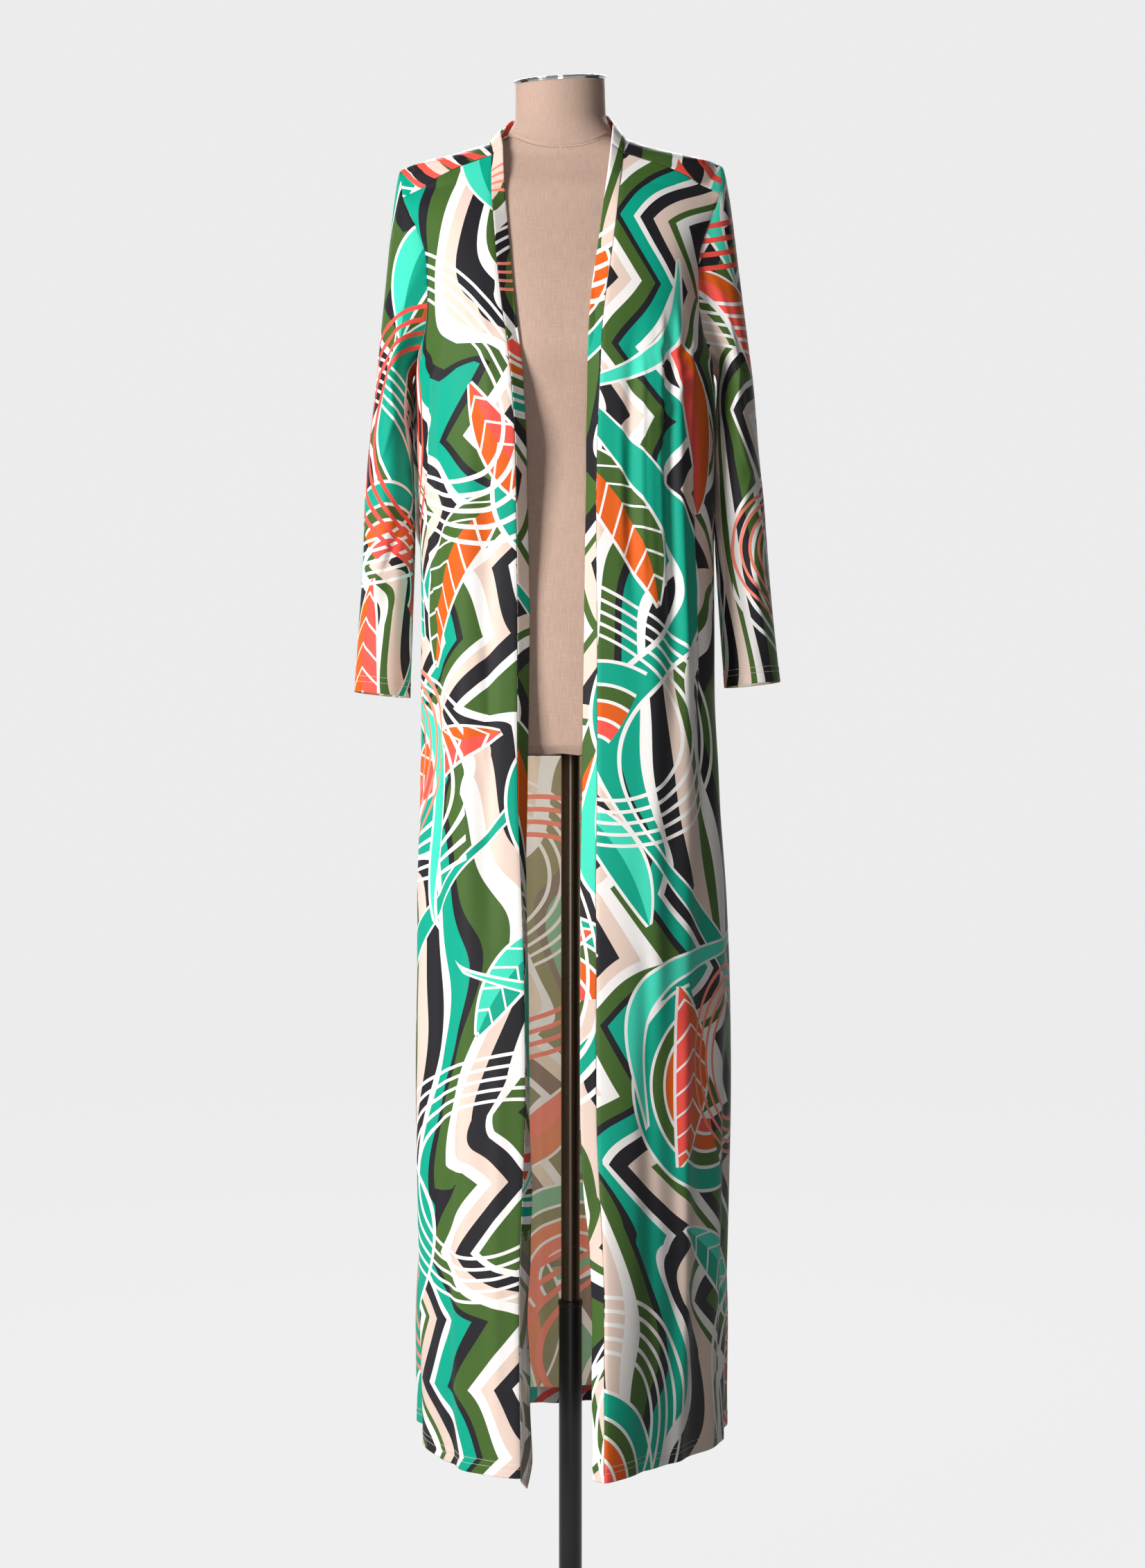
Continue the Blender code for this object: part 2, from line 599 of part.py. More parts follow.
def material(name, colour, roughness, metallic=0.0):
    made = bpy.data.materials.new(name)
    made.use_nodes = True
    shader = made.node_tree.nodes["Principled BSDF"]
    shader.inputs["Base Color"].default_value = (*colour, 1)
    shader.inputs["Roughness"].default_value = roughness
    shader.inputs["Metallic"].default_value = metallic
    return made


def add_object(name, bm, folder, finish):
    mesh = bpy.data.meshes.new(name)
    bm.to_mesh(mesh)
    bm.free()
    mesh.shade_smooth()
    made = bpy.data.objects.new(name, mesh)
    made.data.materials.append(finish)
    folder.objects.link(made)
    return made


def shaped_grid(place, across, along, closed, middle):
    """A grid of faces laid by place(u, v), facing away from the line middle(z)."""
    bm = bmesh.new()
    bmesh.ops.create_grid(bm, x_segments=across, y_segments=along, size=0.5)
    for vert in bm.verts:
        vert.co = place(round((vert.co.x + 0.5) * across) / across, vert.co.y + 0.5)
    if closed:
        bmesh.ops.remove_doubles(bm, verts=bm.verts, dist=0.00001)
    bm.normal_update()
    centres = [(face, face.calc_center_median()) for face in bm.faces]
    facing = sum((centre - middle(centre.z)).dot(face.normal) * face.calc_area() for face, centre in centres)
    if facing < 0:
        bmesh.ops.reverse_faces(bm, faces=bm.faces)
    return bm


def body_middle(z):
    return Vector((lean(z), 0, z))


def cloth(name, place, across, along, folder, finish, closed=False, middle=body_middle, wall=WALL):
    """A wall of cloth whose middle is the grid laid by place."""
    made = add_object(name, shaped_grid(place, across, along, closed, middle), folder, finish)
    thickness = made.modifiers.new("wall", "SOLIDIFY")
    thickness.thickness = wall
    thickness.offset = 0.0
    return made


def panel_place(panel, count):
    return lambda u, v: panel.at(round(u * count), u, v)


def sleeve_middle(side):
    heights = [-ring.z for ring in SLEEVE_RINGS]
    middles = column(SLEEVE_RINGS, "middle_x")
    return lambda z: Vector((SIDE_SIGN[side] * smooth(heights, middles, -z) + lean(z), 0, z))


def make_coat(folder, print_cloth, band_cloth):
    for side in ("right", "left"):
        place = panel_place(front_panel(side), FRONT_ACROSS)
        cloth("front_" + side, place, FRONT_ACROSS, FRONT_ALONG, folder, print_cloth)
    place = panel_place(back_panel(), BACK_ACROSS)
    cloth("back", place, BACK_ACROSS, BACK_ALONG, folder, print_cloth)
    for side in ("right", "left"):
        cloth(
            "sleeve_" + side, sleeve_place(side), SLEEVE_AROUND, SLEEVE_ALONG, folder, print_cloth,
            closed=True, middle=sleeve_middle(side),
        )
        band_rows = FRONT_ALONG + NECK_ALONG
        cloth("band_" + side, band_place(side), BAND_ACROSS, band_rows, folder, band_cloth, wall=BAND_WALL)


def turned(name, outline, folder, finish, middle=(0, 0, 0)):
    """A turned piece: its outline, as radius and height down the outer side, with a Screw."""
    bm = bmesh.new()
    verts = [bm.verts.new((radius, 0, z)) for radius, z in outline]
    for before, after in zip(verts, verts[1:]):
        bm.edges.new((before, after))
    made = add_object(name, bm, folder, finish)
    made.location = middle
    spin = made.modifiers.new("turn", "SCREW")
    spin.steps = spin.render_steps = ROUND_SIDES
    spin.use_merge_vertices = True
    spin.merge_threshold = 0.00001
    return made


def make_stand(folder, black_steel, dark_chrome):
    edge = PLATE_EDGE
    turned("foot_plate", [
        (0, PLATE_THICKNESS), (PLATE_RADIUS - edge, PLATE_THICKNESS),
        (PLATE_RADIUS, PLATE_THICKNESS - edge), (PLATE_RADIUS, edge / 2),
        (PLATE_RADIUS - edge / 2, 0), (0, 0),
    ], folder, black_steel)
    foot = PLATE_THICKNESS + REST_GAP
    bore = UPPER_POLE_RADIUS + POLE_CLEARANCE
    turned("pole_lower", [
        (bore, GRIP_TOP), (LIP_RADIUS - 0.0005, GRIP_TOP), (LIP_RADIUS, GRIP_TOP - 0.0005),
        (LIP_RADIUS, GRIP_TOP - GRIP_LIP), (LOWER_POLE_RADIUS, GRIP_TOP - GRIP_LIP - 0.001),
        (LOWER_POLE_RADIUS, foot), (bore, foot), (bore, GRIP_TOP),
    ], folder, black_steel)
    top = FORM_FOOT + POLE_IN_FORM - REST_GAP
    turned("pole_upper", [
        (0, top), (UPPER_POLE_RADIUS, top), (UPPER_POLE_RADIUS, UPPER_POLE_FOOT), (0, UPPER_POLE_FOOT),
    ], folder, dark_chrome)


def make_form(folder, cutters, linen, chrome):
    bm = shaped_grid(form_place, FORM_AROUND, len(form_rows()) - 1, True, body_middle)
    rims = [edge for edge in bm.edges if edge.is_boundary]
    bmesh.ops.holes_fill(bm, edges=rims, sides=0)
    form = add_object("form", bm, folder, linen)
    hole = bmesh.new()
    bmesh.ops.create_cone(
        hole, cap_ends=True, segments=ROUND_SIDES, depth=2 * POLE_IN_FORM,
        radius1=UPPER_POLE_RADIUS + POLE_CLEARANCE, radius2=UPPER_POLE_RADIUS + POLE_CLEARANCE,
    )
    cutter = add_object("pole_socket", hole, cutters, linen)
    cutter.location = (0, 0, FORM_FOOT)
    cutter.hide_render = True
    cutter.display_type = "WIRE"
    cut = form.modifiers.new("pole_socket", "BOOLEAN")
    cut.object = cutter
    cap = turned("neck_cap", [
        (0, CAP_THICKNESS), (CAP_RADIUS - 0.001, CAP_THICKNESS), (CAP_RADIUS, CAP_THICKNESS - 0.001),
        (CAP_RADIUS, 0.001), (CAP_RADIUS - 0.001, 0), (0, 0),
    ], folder, chrome)
    cap.location = (lean(NECK_TOP), 0.008, NECK_TOP + REST_GAP)
    cap.rotation_euler = (math.atan(NECK_TILT_FORWARD), -math.atan(NECK_TILT_SIDE + SHOULDER_TILT), 0)


def main():
    for old in list(bpy.data.objects):
        bpy.data.objects.remove(old)
    parts = collection("kimono_coat_on_form")
    cutters = collection("cutters")
    print_cloth = material("printed jersey", (0.55, 0.62, 0.50), 0.75)
    band_cloth = material("printed jersey band", (0.30, 0.42, 0.22), 0.75)
    linen = material("linen cover", (0.56, 0.41, 0.33), 0.9)
    chrome = material("chrome", (0.75, 0.75, 0.77), 0.12, 1.0)
    dark_chrome = material("black chrome", (0.05, 0.05, 0.05), 0.18, 1.0)
    black_steel = material("black enamelled steel", (0.012, 0.012, 0.014), 0.35)
    make_stand(parts, black_steel, dark_chrome)
    make_form(parts, cutters, linen, chrome)
    make_coat(parts, print_cloth, band_cloth)


main()
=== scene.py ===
# %% [markdown]
# # Kimono coat on a limbless dress form
#
# A long open coat in printed jersey on a linen-covered form with a pole stand. Everything is in
# metres in the frame's own place: the coat opens towards -Y, and left and right are the wearer's,
# so the right front is at -X, on the viewer's left.

import math
from collections import namedtuple

import bmesh
import bpy
import numpy as np
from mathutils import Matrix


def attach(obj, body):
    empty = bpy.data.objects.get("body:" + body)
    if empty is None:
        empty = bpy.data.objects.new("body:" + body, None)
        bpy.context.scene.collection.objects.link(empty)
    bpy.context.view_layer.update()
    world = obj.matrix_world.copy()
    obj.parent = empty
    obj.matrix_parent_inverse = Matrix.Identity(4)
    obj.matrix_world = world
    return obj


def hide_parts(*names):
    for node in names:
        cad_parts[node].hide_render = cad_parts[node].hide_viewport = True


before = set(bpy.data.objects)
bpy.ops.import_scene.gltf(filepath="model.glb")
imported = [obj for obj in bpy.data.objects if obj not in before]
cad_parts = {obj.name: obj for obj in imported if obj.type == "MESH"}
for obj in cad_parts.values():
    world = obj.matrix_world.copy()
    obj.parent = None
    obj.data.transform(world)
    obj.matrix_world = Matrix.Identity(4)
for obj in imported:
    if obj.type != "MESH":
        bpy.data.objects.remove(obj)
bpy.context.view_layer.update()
print("frame:", ", ".join(sorted(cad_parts)))

# %% [markdown]
# ## Camera, light and floor
#
# The photograph was taken level, 2.75 m in front of the pole and 1.045 m above the floor. Its
# focal length is 3300 px at its height of 2263 px. The key light is a large soft box on the
# viewer's left. A weak one in front fills the shadows, and one above and behind lights the rims
# and the inside of the back.

# %% Camera, light and floor
PHOTO_HEIGHT = 2263
FOCAL_PX = 3300
SENSOR_HEIGHT = 36
CAMERA_PLACE = (0.0025, -2.75, 1.045)
BACKDROP_GREY = "#ECECEC"
WORLD_STRENGTH = 0.06


def linear(code):
    """An sRGB hex colour as linear RGBA."""
    parts = [int(code[k:k + 2], 16) / 255 for k in (1, 3, 5)]
    return [c / 12.92 if c <= 0.04045 else ((c + 0.055) / 1.055) ** 2.4 for c in parts] + [1]


bpy.ops.object.select_all(action="DESELECT")
bpy.ops.object.camera_add(location=CAMERA_PLACE, rotation=(math.pi / 2, 0, 0))
camera = bpy.context.object
camera.data.sensor_fit = "VERTICAL"
camera.data.sensor_height = SENSOR_HEIGHT
camera.data.lens = SENSOR_HEIGHT * FOCAL_PX / PHOTO_HEIGHT
bpy.context.scene.camera = camera
bpy.context.scene.view_settings.view_transform = "Standard"


def soft_box(name, place, aim, width, height, watts):
    """A rectangular area light at a place, turned towards its aim."""
    bpy.ops.object.light_add(type="AREA", location=place)
    lamp = bpy.context.object
    lamp.name = name
    lamp.data.shape = "RECTANGLE"
    lamp.data.size, lamp.data.size_y = width, height
    lamp.data.energy = watts
    x, y, z = np.subtract(aim, place)
    lamp.rotation_euler = (math.atan2(math.hypot(x, y), -z), 0, -math.atan2(x, y))


soft_box("key", (-2.5, -2.5, 1.8), (0, 0, 1.05), 1.2, 2.0, 175)
soft_box("front", (0.12, -3.5, 0.95), (0, 0, 0.8), 0.7, 1.4, 26)
soft_box("back", (0.0, 1.8, 3.0), (0, 0.1, 0.7), 1.8, 0.8, 150)

world = bpy.data.worlds.new("studio")
bpy.context.scene.world = world
world.use_nodes = True
background = world.node_tree.nodes["Background"]
background.inputs["Color"].default_value = linear(BACKDROP_GREY)
background.inputs["Strength"].default_value = WORLD_STRENGTH

# The floor runs up into a sweep far behind the form, given as y and z along it.
SWEEP = [(-12.0, 0.0), (6.4, 0.0), (7.1, 0.12), (7.6, 0.55), (7.9, 1.2), (8.0, 2.0), (8.0, 8.0)]
FLOOR_WIDTH = 28
bpy.ops.mesh.primitive_grid_add(x_subdivisions=1, y_subdivisions=60, size=1)
floor = bpy.context.object
floor.name = "floor"
steps = np.arange(len(SWEEP))
for vertex in floor.data.vertices:
    along = (vertex.co.y + 0.5) * steps[-1]
    y, z = (np.interp(along, steps, values) for values in zip(*SWEEP))
    vertex.co = (vertex.co.x * FLOOR_WIDTH, y, z)
for face in floor.data.polygons:
    face.use_smooth = True

# %% [markdown]
# ## Material nodes
#
# `Field` lets ordinary arithmetic build Math nodes, so that a pattern reads as a formula. All
# lengths in the patterns are metres on the cloth, read from the `cut` UV map.

# %% Material helpers
class Field:
    """A value that varies over a surface, made of Math nodes in one tree."""

    def __init__(self, tree, socket):
        self.tree, self.socket = tree, socket

    def math(self, operation, *others):
        node = self.tree.nodes.new("ShaderNodeMath")
        node.operation = operation
        for entry, value in zip(node.inputs, (self, *others)):
            if isinstance(value, Field):
                self.tree.links.new(value.socket, entry)
            else:
                entry.default_value = value
        return Field(self.tree, node.outputs[0])

    def __add__(self, other):
        return self.math("ADD", other)

    def __sub__(self, other):
        return self.math("SUBTRACT", other)

    def __mul__(self, other):
        return self.math("MULTIPLY", other)

    def __truediv__(self, other):
        return self.math("DIVIDE", other)

    def wave(self, length, shift=0.0):
        """A sine of this wavelength."""
        return (self * (2 * math.pi / length) + shift).math("SINE")

    def part(self):
        return self.math("FRACT")

    def whole(self):
        return self.math("FLOOR")

    def size(self):
        return self.math("ABSOLUTE")

    def below(self, limit):
        return self.math("LESS_THAN", limit)

    def above(self, limit):
        return self.math("GREATER_THAN", limit)


def node(tree, kind, settings=None, links=None):
    """Adds a node, sets its sockets and properties by name, and links sockets into it."""
    made = tree.nodes.new("ShaderNode" + kind)
    for name, value in (settings or {}).items():
        if name in made.inputs:
            made.inputs[name].default_value = value
        else:
            setattr(made, name, value)
    for name, source in (links or {}).items():
        tree.links.new(source.socket if isinstance(source, Field) else source, made.inputs[name])
    return made


def painted(tree, below, above, mask):
    """The colour above where mask is 1, and the colour below where it is 0."""
    mix = node(tree, "Mix", {"data_type": "RGBA"})
    for entry, value in ((mix.inputs[0], mask), (mix.inputs[6], below), (mix.inputs[7], above)):
        if isinstance(value, str):
            entry.default_value = linear(value)
        else:
            tree.links.new(value.socket if isinstance(value, Field) else value, entry)
    return mix.outputs[2]


def new_material(name, settings):
    """A material with its shader's constants set, as (material, tree, shader)."""
    made = bpy.data.materials.new(name)
    made.use_nodes = True
    shader = made.node_tree.nodes["Principled BSDF"]
    for entry, value in settings.items():
        shader.inputs[entry].default_value = linear(value) if isinstance(value, str) else value
    return made, made.node_tree, shader


def noise(tree, scale, detail, place):
    """Noise as a Field, read at the place that a socket gives."""
    made = node(tree, "TexNoise", {"Scale": scale, "Detail": detail}, {"Vector": place})
    return Field(tree, made.outputs["Fac"])


def add_bump(tree, shader, strength, distance, height):
    bump = node(tree, "Bump", {"Strength": strength, "Distance": distance}, {"Height": height})
    tree.links.new(bump.outputs[0], shader.inputs["Normal"])


# The paper glows in the photograph's even grey, and its dark base takes only a faint shadow.
floor_paint = new_material("pale studio paper", {
    "Base Color": "#242424", "Roughness": 0.9, "Specular IOR Level": 0.0,
    "Emission Color": BACKDROP_GREY, "Emission Strength": 0.995})[0]
floor.data.materials.append(floor_paint)
floor.visible_diffuse = False

# %% [markdown]
# ## The printed jersey
#
# A generic abstract print: bent stripes that break into chevrons, with ribbons, rainbow arches,
# leaves and nets of thin lines over them. Stripes are 10 to 30 mm wide, motifs 100 to 300 mm long
# and lines 3 to 5 mm wide. The wrong side shows the same print, pale and greyed.

# %% The print's colours and stripes
CREAM, BEIGE, OLIVE, BLACK = "#F3EEEA", "#E4CDBF", "#45642A", "#211F24"
# The last colour here is coral as it looks in strong light: a painted lit copy of coral, used as a print
# colour of its own.
TEAL, AQUA, ORANGE, CORAL, CORAL_LIT_COPY = "#00A488", "#42D6B8", "#DD6015", "#F7574B", "#FF8D77"
# The upper edge of each stripe in one repeat, and its colour
STRIPE_REPEAT = 0.262
STRIPES = [
    (0.032, OLIVE), (0.042, CREAM), (0.066, BLACK), (0.084, BEIGE), (0.100, CREAM), (0.122, OLIVE),
    (0.133, BLACK), (0.156, TEAL), (0.167, CREAM), (0.190, BLACK), (0.212, BEIGE), (0.224, OLIVE),
    (0.240, CREAM), (0.262, BLACK),
]
ARCH_INNER, ARCH_OUTER = 0.040, 0.124
ARCH_BANDS = [
    (0.016, CORAL), (0.020, CREAM), (0.037, ORANGE), (0.041, CREAM), (0.056, OLIVE), (0.060, CREAM),
    (0.084, TEAL),
]


def bands(tree, place, table, repeat):
    """The colour of a table of bands at a place, both in metres."""
    ramp = node(tree, "ValToRGB", None, {"Fac": place / repeat})
    ramp.color_ramp.interpolation = "CONSTANT"
    while len(ramp.color_ramp.elements) < len(table):
        ramp.color_ramp.elements.new(0.99)
    starts = [0] + [edge / repeat for edge, _ in table[:-1]]
    for element, start, (_, colour) in zip(ramp.color_ramp.elements, starts, table):
        element.position, element.color = start, linear(colour)
    return ramp.outputs["Color"]


def lattice(tree, u, v, width, height, seed, wander):
    """Places in the cells of a staggered lattice, and three values of luck for each cell."""
    row = (v / height).whole()
    shifted = u / width + row * 0.5
    cell = node(tree, "CombineXYZ", {"Z": seed}, {"X": shifted.whole(), "Y": row})
    chance = node(tree, "TexWhiteNoise", {"noise_dimensions": "3D"}, {"Vector": cell.outputs[0]})
    split = node(tree, "SeparateColor", None, {"Color": chance.outputs["Color"]})
    luck = [Field(tree, split.outputs[k]) for k in range(3)]
    x = (shifted.part() - 0.5) * width + (luck[0] - 0.5) * wander
    y = ((v / height).part() - 0.5) * height + (luck[1] - 0.5) * wander
    return x, y, luck


def turned_by(x, y, turn):
    """x and y in axes turned by an angle in radians."""
    cos, sin = turn.math("COSINE"), turn.math("SINE")
    return x * cos + y * sin, y * cos - x * sin


# %% The print's motifs
def ribbon(tree, colour, place, repeat, half_width, tone, edging=0.0042):
    """A long ribbon with a cream edge on both sides."""
    away = ((place / repeat).part() - 0.5).size() * repeat
    edge = (away - edging).below(half_width) * half_width.above(0.0)
    return painted(tree, painted(tree, colour, CREAM, edge), tone, away.below(half_width))


def arches(tree, colour, u, v):
    """Half rings of coloured bands, turned every way."""
    x, y, luck = lattice(tree, u, v, 0.37, 0.43, 3.0, 0.09)
    x, y = turned_by(x, y, luck[2] * 6.28)
    reach = (x * x + y * y * 1.30).math("SQRT")
    shown = luck[0].above(0.25) * (y + x.wave(0.21) * 0.006).above(0.0)
    outline = reach.above(ARCH_INNER - 0.004) * reach.below(ARCH_OUTER + 0.004)
    inside = reach.above(ARCH_INNER) * reach.below(ARCH_OUTER)
    rings = bands(tree, reach - ARCH_INNER, ARCH_BANDS, ARCH_OUTER - ARCH_INNER)
    colour = painted(tree, colour, CREAM, shown * outline)
    return painted(tree, colour, rings, shown * inside)


def leaves(tree, colour, u, v, seed, cell, tones, half_length=0.105, half_width=0.027, rarity=0.35):
    """Bent pointed leaves in two tones with thin cream veins."""
    x, y, luck = lattice(tree, u, v, *cell, seed, 0.06)
    x, y = turned_by(x, y, (luck[2] - 0.5) * 2.2)
    x = x + y * y * 2.2 - 0.010
    belly = ((y / half_length).math("POWER", 2.0) * -1.0 + 1.0) * half_width * luck[0].above(rarity)
    leaf = x.size().below(belly)
    outline = (x.size() - 0.0036).below(belly) * belly.above(0.0005)
    tone = painted(tree, tones[0], tones[1], x.above(0.0))
    veins = ((y + x.size() * 0.9) / 0.029).part().below(0.12) * luck[1].above(0.55)
    colour = painted(tree, colour, CREAM, outline)
    return painted(tree, colour, painted(tree, tone, CREAM, veins), leaf)


def line_net(tree, colour, u, v, seed, size, inner, count, pitch, line, tone, rarity=0.12):
    """Groups of thin oval rings, one inside the other."""
    x, y, luck = lattice(tree, u, v, size, size * 1.24, seed, 0.12)
    x, y = turned_by(x, y, luck[2] * 3.14)
    swollen = (x * x + y * y * 0.55 + x * y * 0.30).math("SQRT") + y.wave(0.31) * 0.006
    rings = (swollen - inner) / pitch
    shown = rings.above(0.0) * rings.below(count - 0.3) * rings.part().below(line / pitch)
    return painted(tree, colour, tone, shown * luck[0].above(rarity))


def make_print():
    """A node group with the print's colour, for a piece whose cut starts at (Across, Up)."""
    tree = bpy.data.node_groups.new("abstract print", "ShaderNodeTree")
    for name in ("Across", "Up"):
        tree.interface.new_socket(name, in_out="INPUT", socket_type="NodeSocketFloat")
    tree.interface.new_socket("Colour", in_out="OUTPUT", socket_type="NodeSocketColor")
    start = tree.nodes.new("NodeGroupInput")
    uv = node(tree, "UVMap", {"uv_map": "cut"})
    split = node(tree, "SeparateXYZ", None, {"Vector": uv.outputs[0]})
    u = Field(tree, split.outputs[0]) + Field(tree, start.outputs["Across"])
    v = Field(tree, split.outputs[1]) + Field(tree, start.outputs["Up"])

    where = ((v * 0.9 + u * 1.2).wave(0.80, 1.0) * 3.0 + 0.7).math("MAXIMUM", 0.0).math("MINIMUM", 1.0)
    chevrons = ((v + u * 0.12).math("PINGPONG", 0.078) - 0.039) * 0.85 * where
    meander = (v + u * 0.5).wave(0.52, 0.6) * 0.030 + (v + u * 1.3).wave(0.23, 2.1) * 0.009
    slant = (u * 1.02 - v * 0.10).wave(0.47) * 0.016
    stripes = ((u + meander + chevrons + slant) / STRIPE_REPEAT).part() * STRIPE_REPEAT
    colour = bands(tree, stripes, STRIPES, STRIPE_REPEAT)

    colour = leaves(tree, colour, u + 0.21, v + 0.05, 7.0, (0.30, 0.41), (ORANGE, OLIVE), 0.120, 0.030)
    sweep = u * 0.90 + v * 0.34 + (v + u * 0.4).wave(0.60, 0.3) * 0.088
    width = (v * 0.7 - u).wave(0.55, 0.5) * 0.009 + 0.015
    colour = ribbon(tree, colour, sweep, 0.46, width, TEAL)
    colour = arches(tree, colour, u, v)
    colour = leaves(tree, colour, u + 0.09, v + 0.12, 11.0, (0.27, 0.36), (CORAL, ORANGE), rarity=0.62)
    colour = leaves(tree, colour, u + 0.17, v + 0.27, 13.0, (0.33, 0.47), (TEAL, AQUA), 0.090, 0.022)
    colour = line_net(tree, colour, u, v, 5.0, 0.37, 0.085, 5, 0.0125, 0.0038, CREAM)
    sweep = u * 0.70 - v * 0.52 + (v + u * 0.6).wave(0.50, 2.4) * 0.060
    width = (v - u).wave(0.63, 0.9) * 0.010 + 0.002
    colour = ribbon(tree, colour, sweep, 0.50, width, AQUA, 0.0036)
    colour = line_net(tree, colour, u + 0.2, v + 0.3, 17.0, 0.43, 0.115, 4, 0.0155, 0.0058, CORAL, 0.52)
    # This net of thin lines is drawn in the painted lit copy of coral.
    colour = line_net(tree, colour, u + 0.1, v + 0.11, 19.0, 0.41, 0.050, 4, 0.0105, 0.0036, CORAL_LIT_COPY, 0.40)
    tree.links.new(colour, tree.nodes.new("NodeGroupOutput").inputs["Colour"])
    return tree


print_group = make_print()
# Ribs to a metre in the knit, as a Wave texture scales them
KNIT_RIBS = 1800 / (2 * math.pi)
WRONG_SIDE_FOG, WRONG_SIDE_TONE = 0.30, "#E0CDBB"


def jersey(name, across, up, wrong_side=False):
    """Smooth knit jersey: fine ribs, a soft sheen and the print or its paler wrong side."""
    made, tree, shader = new_material(name, {
        "Roughness": 0.62, "Specular IOR Level": 0.16, "Sheen Weight": 0.03, "Sheen Roughness": 0.45,
        "Subsurface Weight": 0.85 if wrong_side else 0.40, "Subsurface Radius": (1.0, 0.9, 0.8),
        "Subsurface Scale": 0.0040 if wrong_side else 0.0010})
    printed = tree.nodes.new("ShaderNodeGroup")
    printed.node_tree = print_group
    printed.inputs["Across"].default_value, printed.inputs["Up"].default_value = across, up
    colour = printed.outputs["Colour"]
    if wrong_side:
        fog = node(tree, "Mix", {"data_type": "RGBA"})
        fog.inputs[0].default_value = WRONG_SIDE_FOG
        fog.inputs[7].default_value = linear(WRONG_SIDE_TONE)
        tree.links.new(colour, fog.inputs[6])
        colour = fog.outputs[2]
    uv = node(tree, "UVMap", {"uv_map": "cut"}).outputs[0]
    ribs = node(tree, "TexWave", {"Scale": KNIT_RIBS, "Distortion": 0.8, "Detail": 1.0}, {"Vector": uv})
    relief = Field(tree, ribs.outputs["Fac"]) * 0.6 + noise(tree, 700.0, 2.0, uv)
    value = relief * 0.02 + noise(tree, 260.0, 3.0, uv) * 0.05 + 0.955
    shade = node(tree, "HueSaturation", None, {"Color": colour, "Value": value})
    tree.links.new(shade.outputs[0], shader.inputs["Base Color"])
    add_bump(tree, shader, 0.07, 0.0003, relief)
    return made


# %% [markdown]
# ## The form's and the coat's tables
#
# These are the named sizes of the CAD part. Only the walls, the rings of the sleeves and the foot
# of the right edge differ from it a little, to follow the photograph closer.

# %% Tables
# Thickness of the cloth and of the folded band
WALL, BAND_THICKNESS = 0.0008, 0.0020
FORM_CLEARANCE = 0.0024
SHOULDER_CLEARANCE = 0.0052
SHOULDERS = 1.735
FORM_FOOT, NECK_TOP = 1.080, 1.891
NECK_TILT_START, NECK_TILT_FORWARD, NECK_TILT_SIDE = 1.835, 0.22, 0.047
LEAN_AT_NECK, SHOULDER_TILT = -0.0125, 0.013
HEM, ARMPIT = 0.259, 1.540
BAND_WIDTH = 0.019
BAND_DROP = {"right": 0.014, "left": 0.001}
NECK_SHIFT = -0.0044
SIDE_SIGN = {"right": -1, "left": 1}

FormRing = namedtuple("FormRing", "z half_x front_y back_y square")
FORM_RINGS = [
    FormRing(1.080, 0.150, -0.096, 0.108, 2.3),
    FormRing(1.092, 0.160, -0.103, 0.116, 2.3),
    FormRing(1.160, 0.166, -0.108, 0.121, 2.3),
    FormRing(1.230, 0.167, -0.109, 0.121, 2.3),
    FormRing(1.330, 0.146, -0.100, 0.100, 2.3),
    FormRing(1.430, 0.121, -0.090, 0.086, 2.3),
    FormRing(1.500, 0.131, -0.104, 0.090, 2.5),
    FormRing(1.560, 0.144, -0.121, 0.098, 2.6),
    FormRing(1.620, 0.154, -0.111, 0.104, 2.5),
    FormRing(1.680, 0.160, -0.092, 0.106, 2.4),
    FormRing(1.720, 0.168, -0.077, 0.097, 2.3),
    FormRing(1.750, 0.179, -0.067, 0.089, 2.2),
    FormRing(1.770, 0.183, -0.056, 0.081, 2.1),
    FormRing(1.783, 0.171, -0.050, 0.076, 2.0),
    FormRing(1.790, 0.148, -0.047, 0.073, 2.0),
    FormRing(1.797, 0.119, -0.046, 0.070, 2.0),
    FormRing(1.805, 0.0925, -0.046, 0.068, 2.0),
    FormRing(1.815, 0.072, -0.046, 0.066, 2.0),
    FormRing(1.828, 0.0625, -0.0465, 0.064, 2.0),
    FormRing(1.845, 0.0545, -0.046, 0.062, 2.0),
    FormRing(1.891, 0.0535, -0.046, 0.061, 2.0),
]

FrontEdge = namedtuple("FrontEdge", "z right_x left_x right_turn left_turn")
FRONT_EDGES = [
    FrontEdge(0.259, -0.0562, 0.0383, 52, 46),
    FrontEdge(0.363, -0.0586, 0.0394, 53, 42),
    FrontEdge(0.519, -0.0580, 0.0371, 53, 38),
    FrontEdge(0.597, -0.0530, 0.0355, 60, 8),
    FrontEdge(0.675, -0.0514, 0.0300, 76, 6),
    FrontEdge(0.754, -0.0515, 0.0293, 78, 6),
    FrontEdge(0.911, -0.0556, 0.0294, 74, 16),
    FrontEdge(1.070, -0.0610, 0.0310, 50, 24),
    FrontEdge(1.228, -0.0610, 0.0310, 42, 36),
    FrontEdge(1.387, -0.0626, 0.0295, 46, 50),
    FrontEdge(1.466, -0.0650, 0.0327, 46, 44),
    FrontEdge(1.546, -0.0720, 0.0358, 38, 34),
    FrontEdge(1.586, -0.0778, 0.0383, 32, 28),
    FrontEdge(1.628, -0.0829, 0.0437, 30, 20),
    FrontEdge(1.671, -0.0873, 0.0498, 30, 20),
    FrontEdge(1.715, -0.0908, 0.0553, 30, 20),
    FrontEdge(1.761, -0.0938, 0.0602, 20, 20),
    FrontEdge(1.789, -0.0939, 0.0631, 10, 10),
]

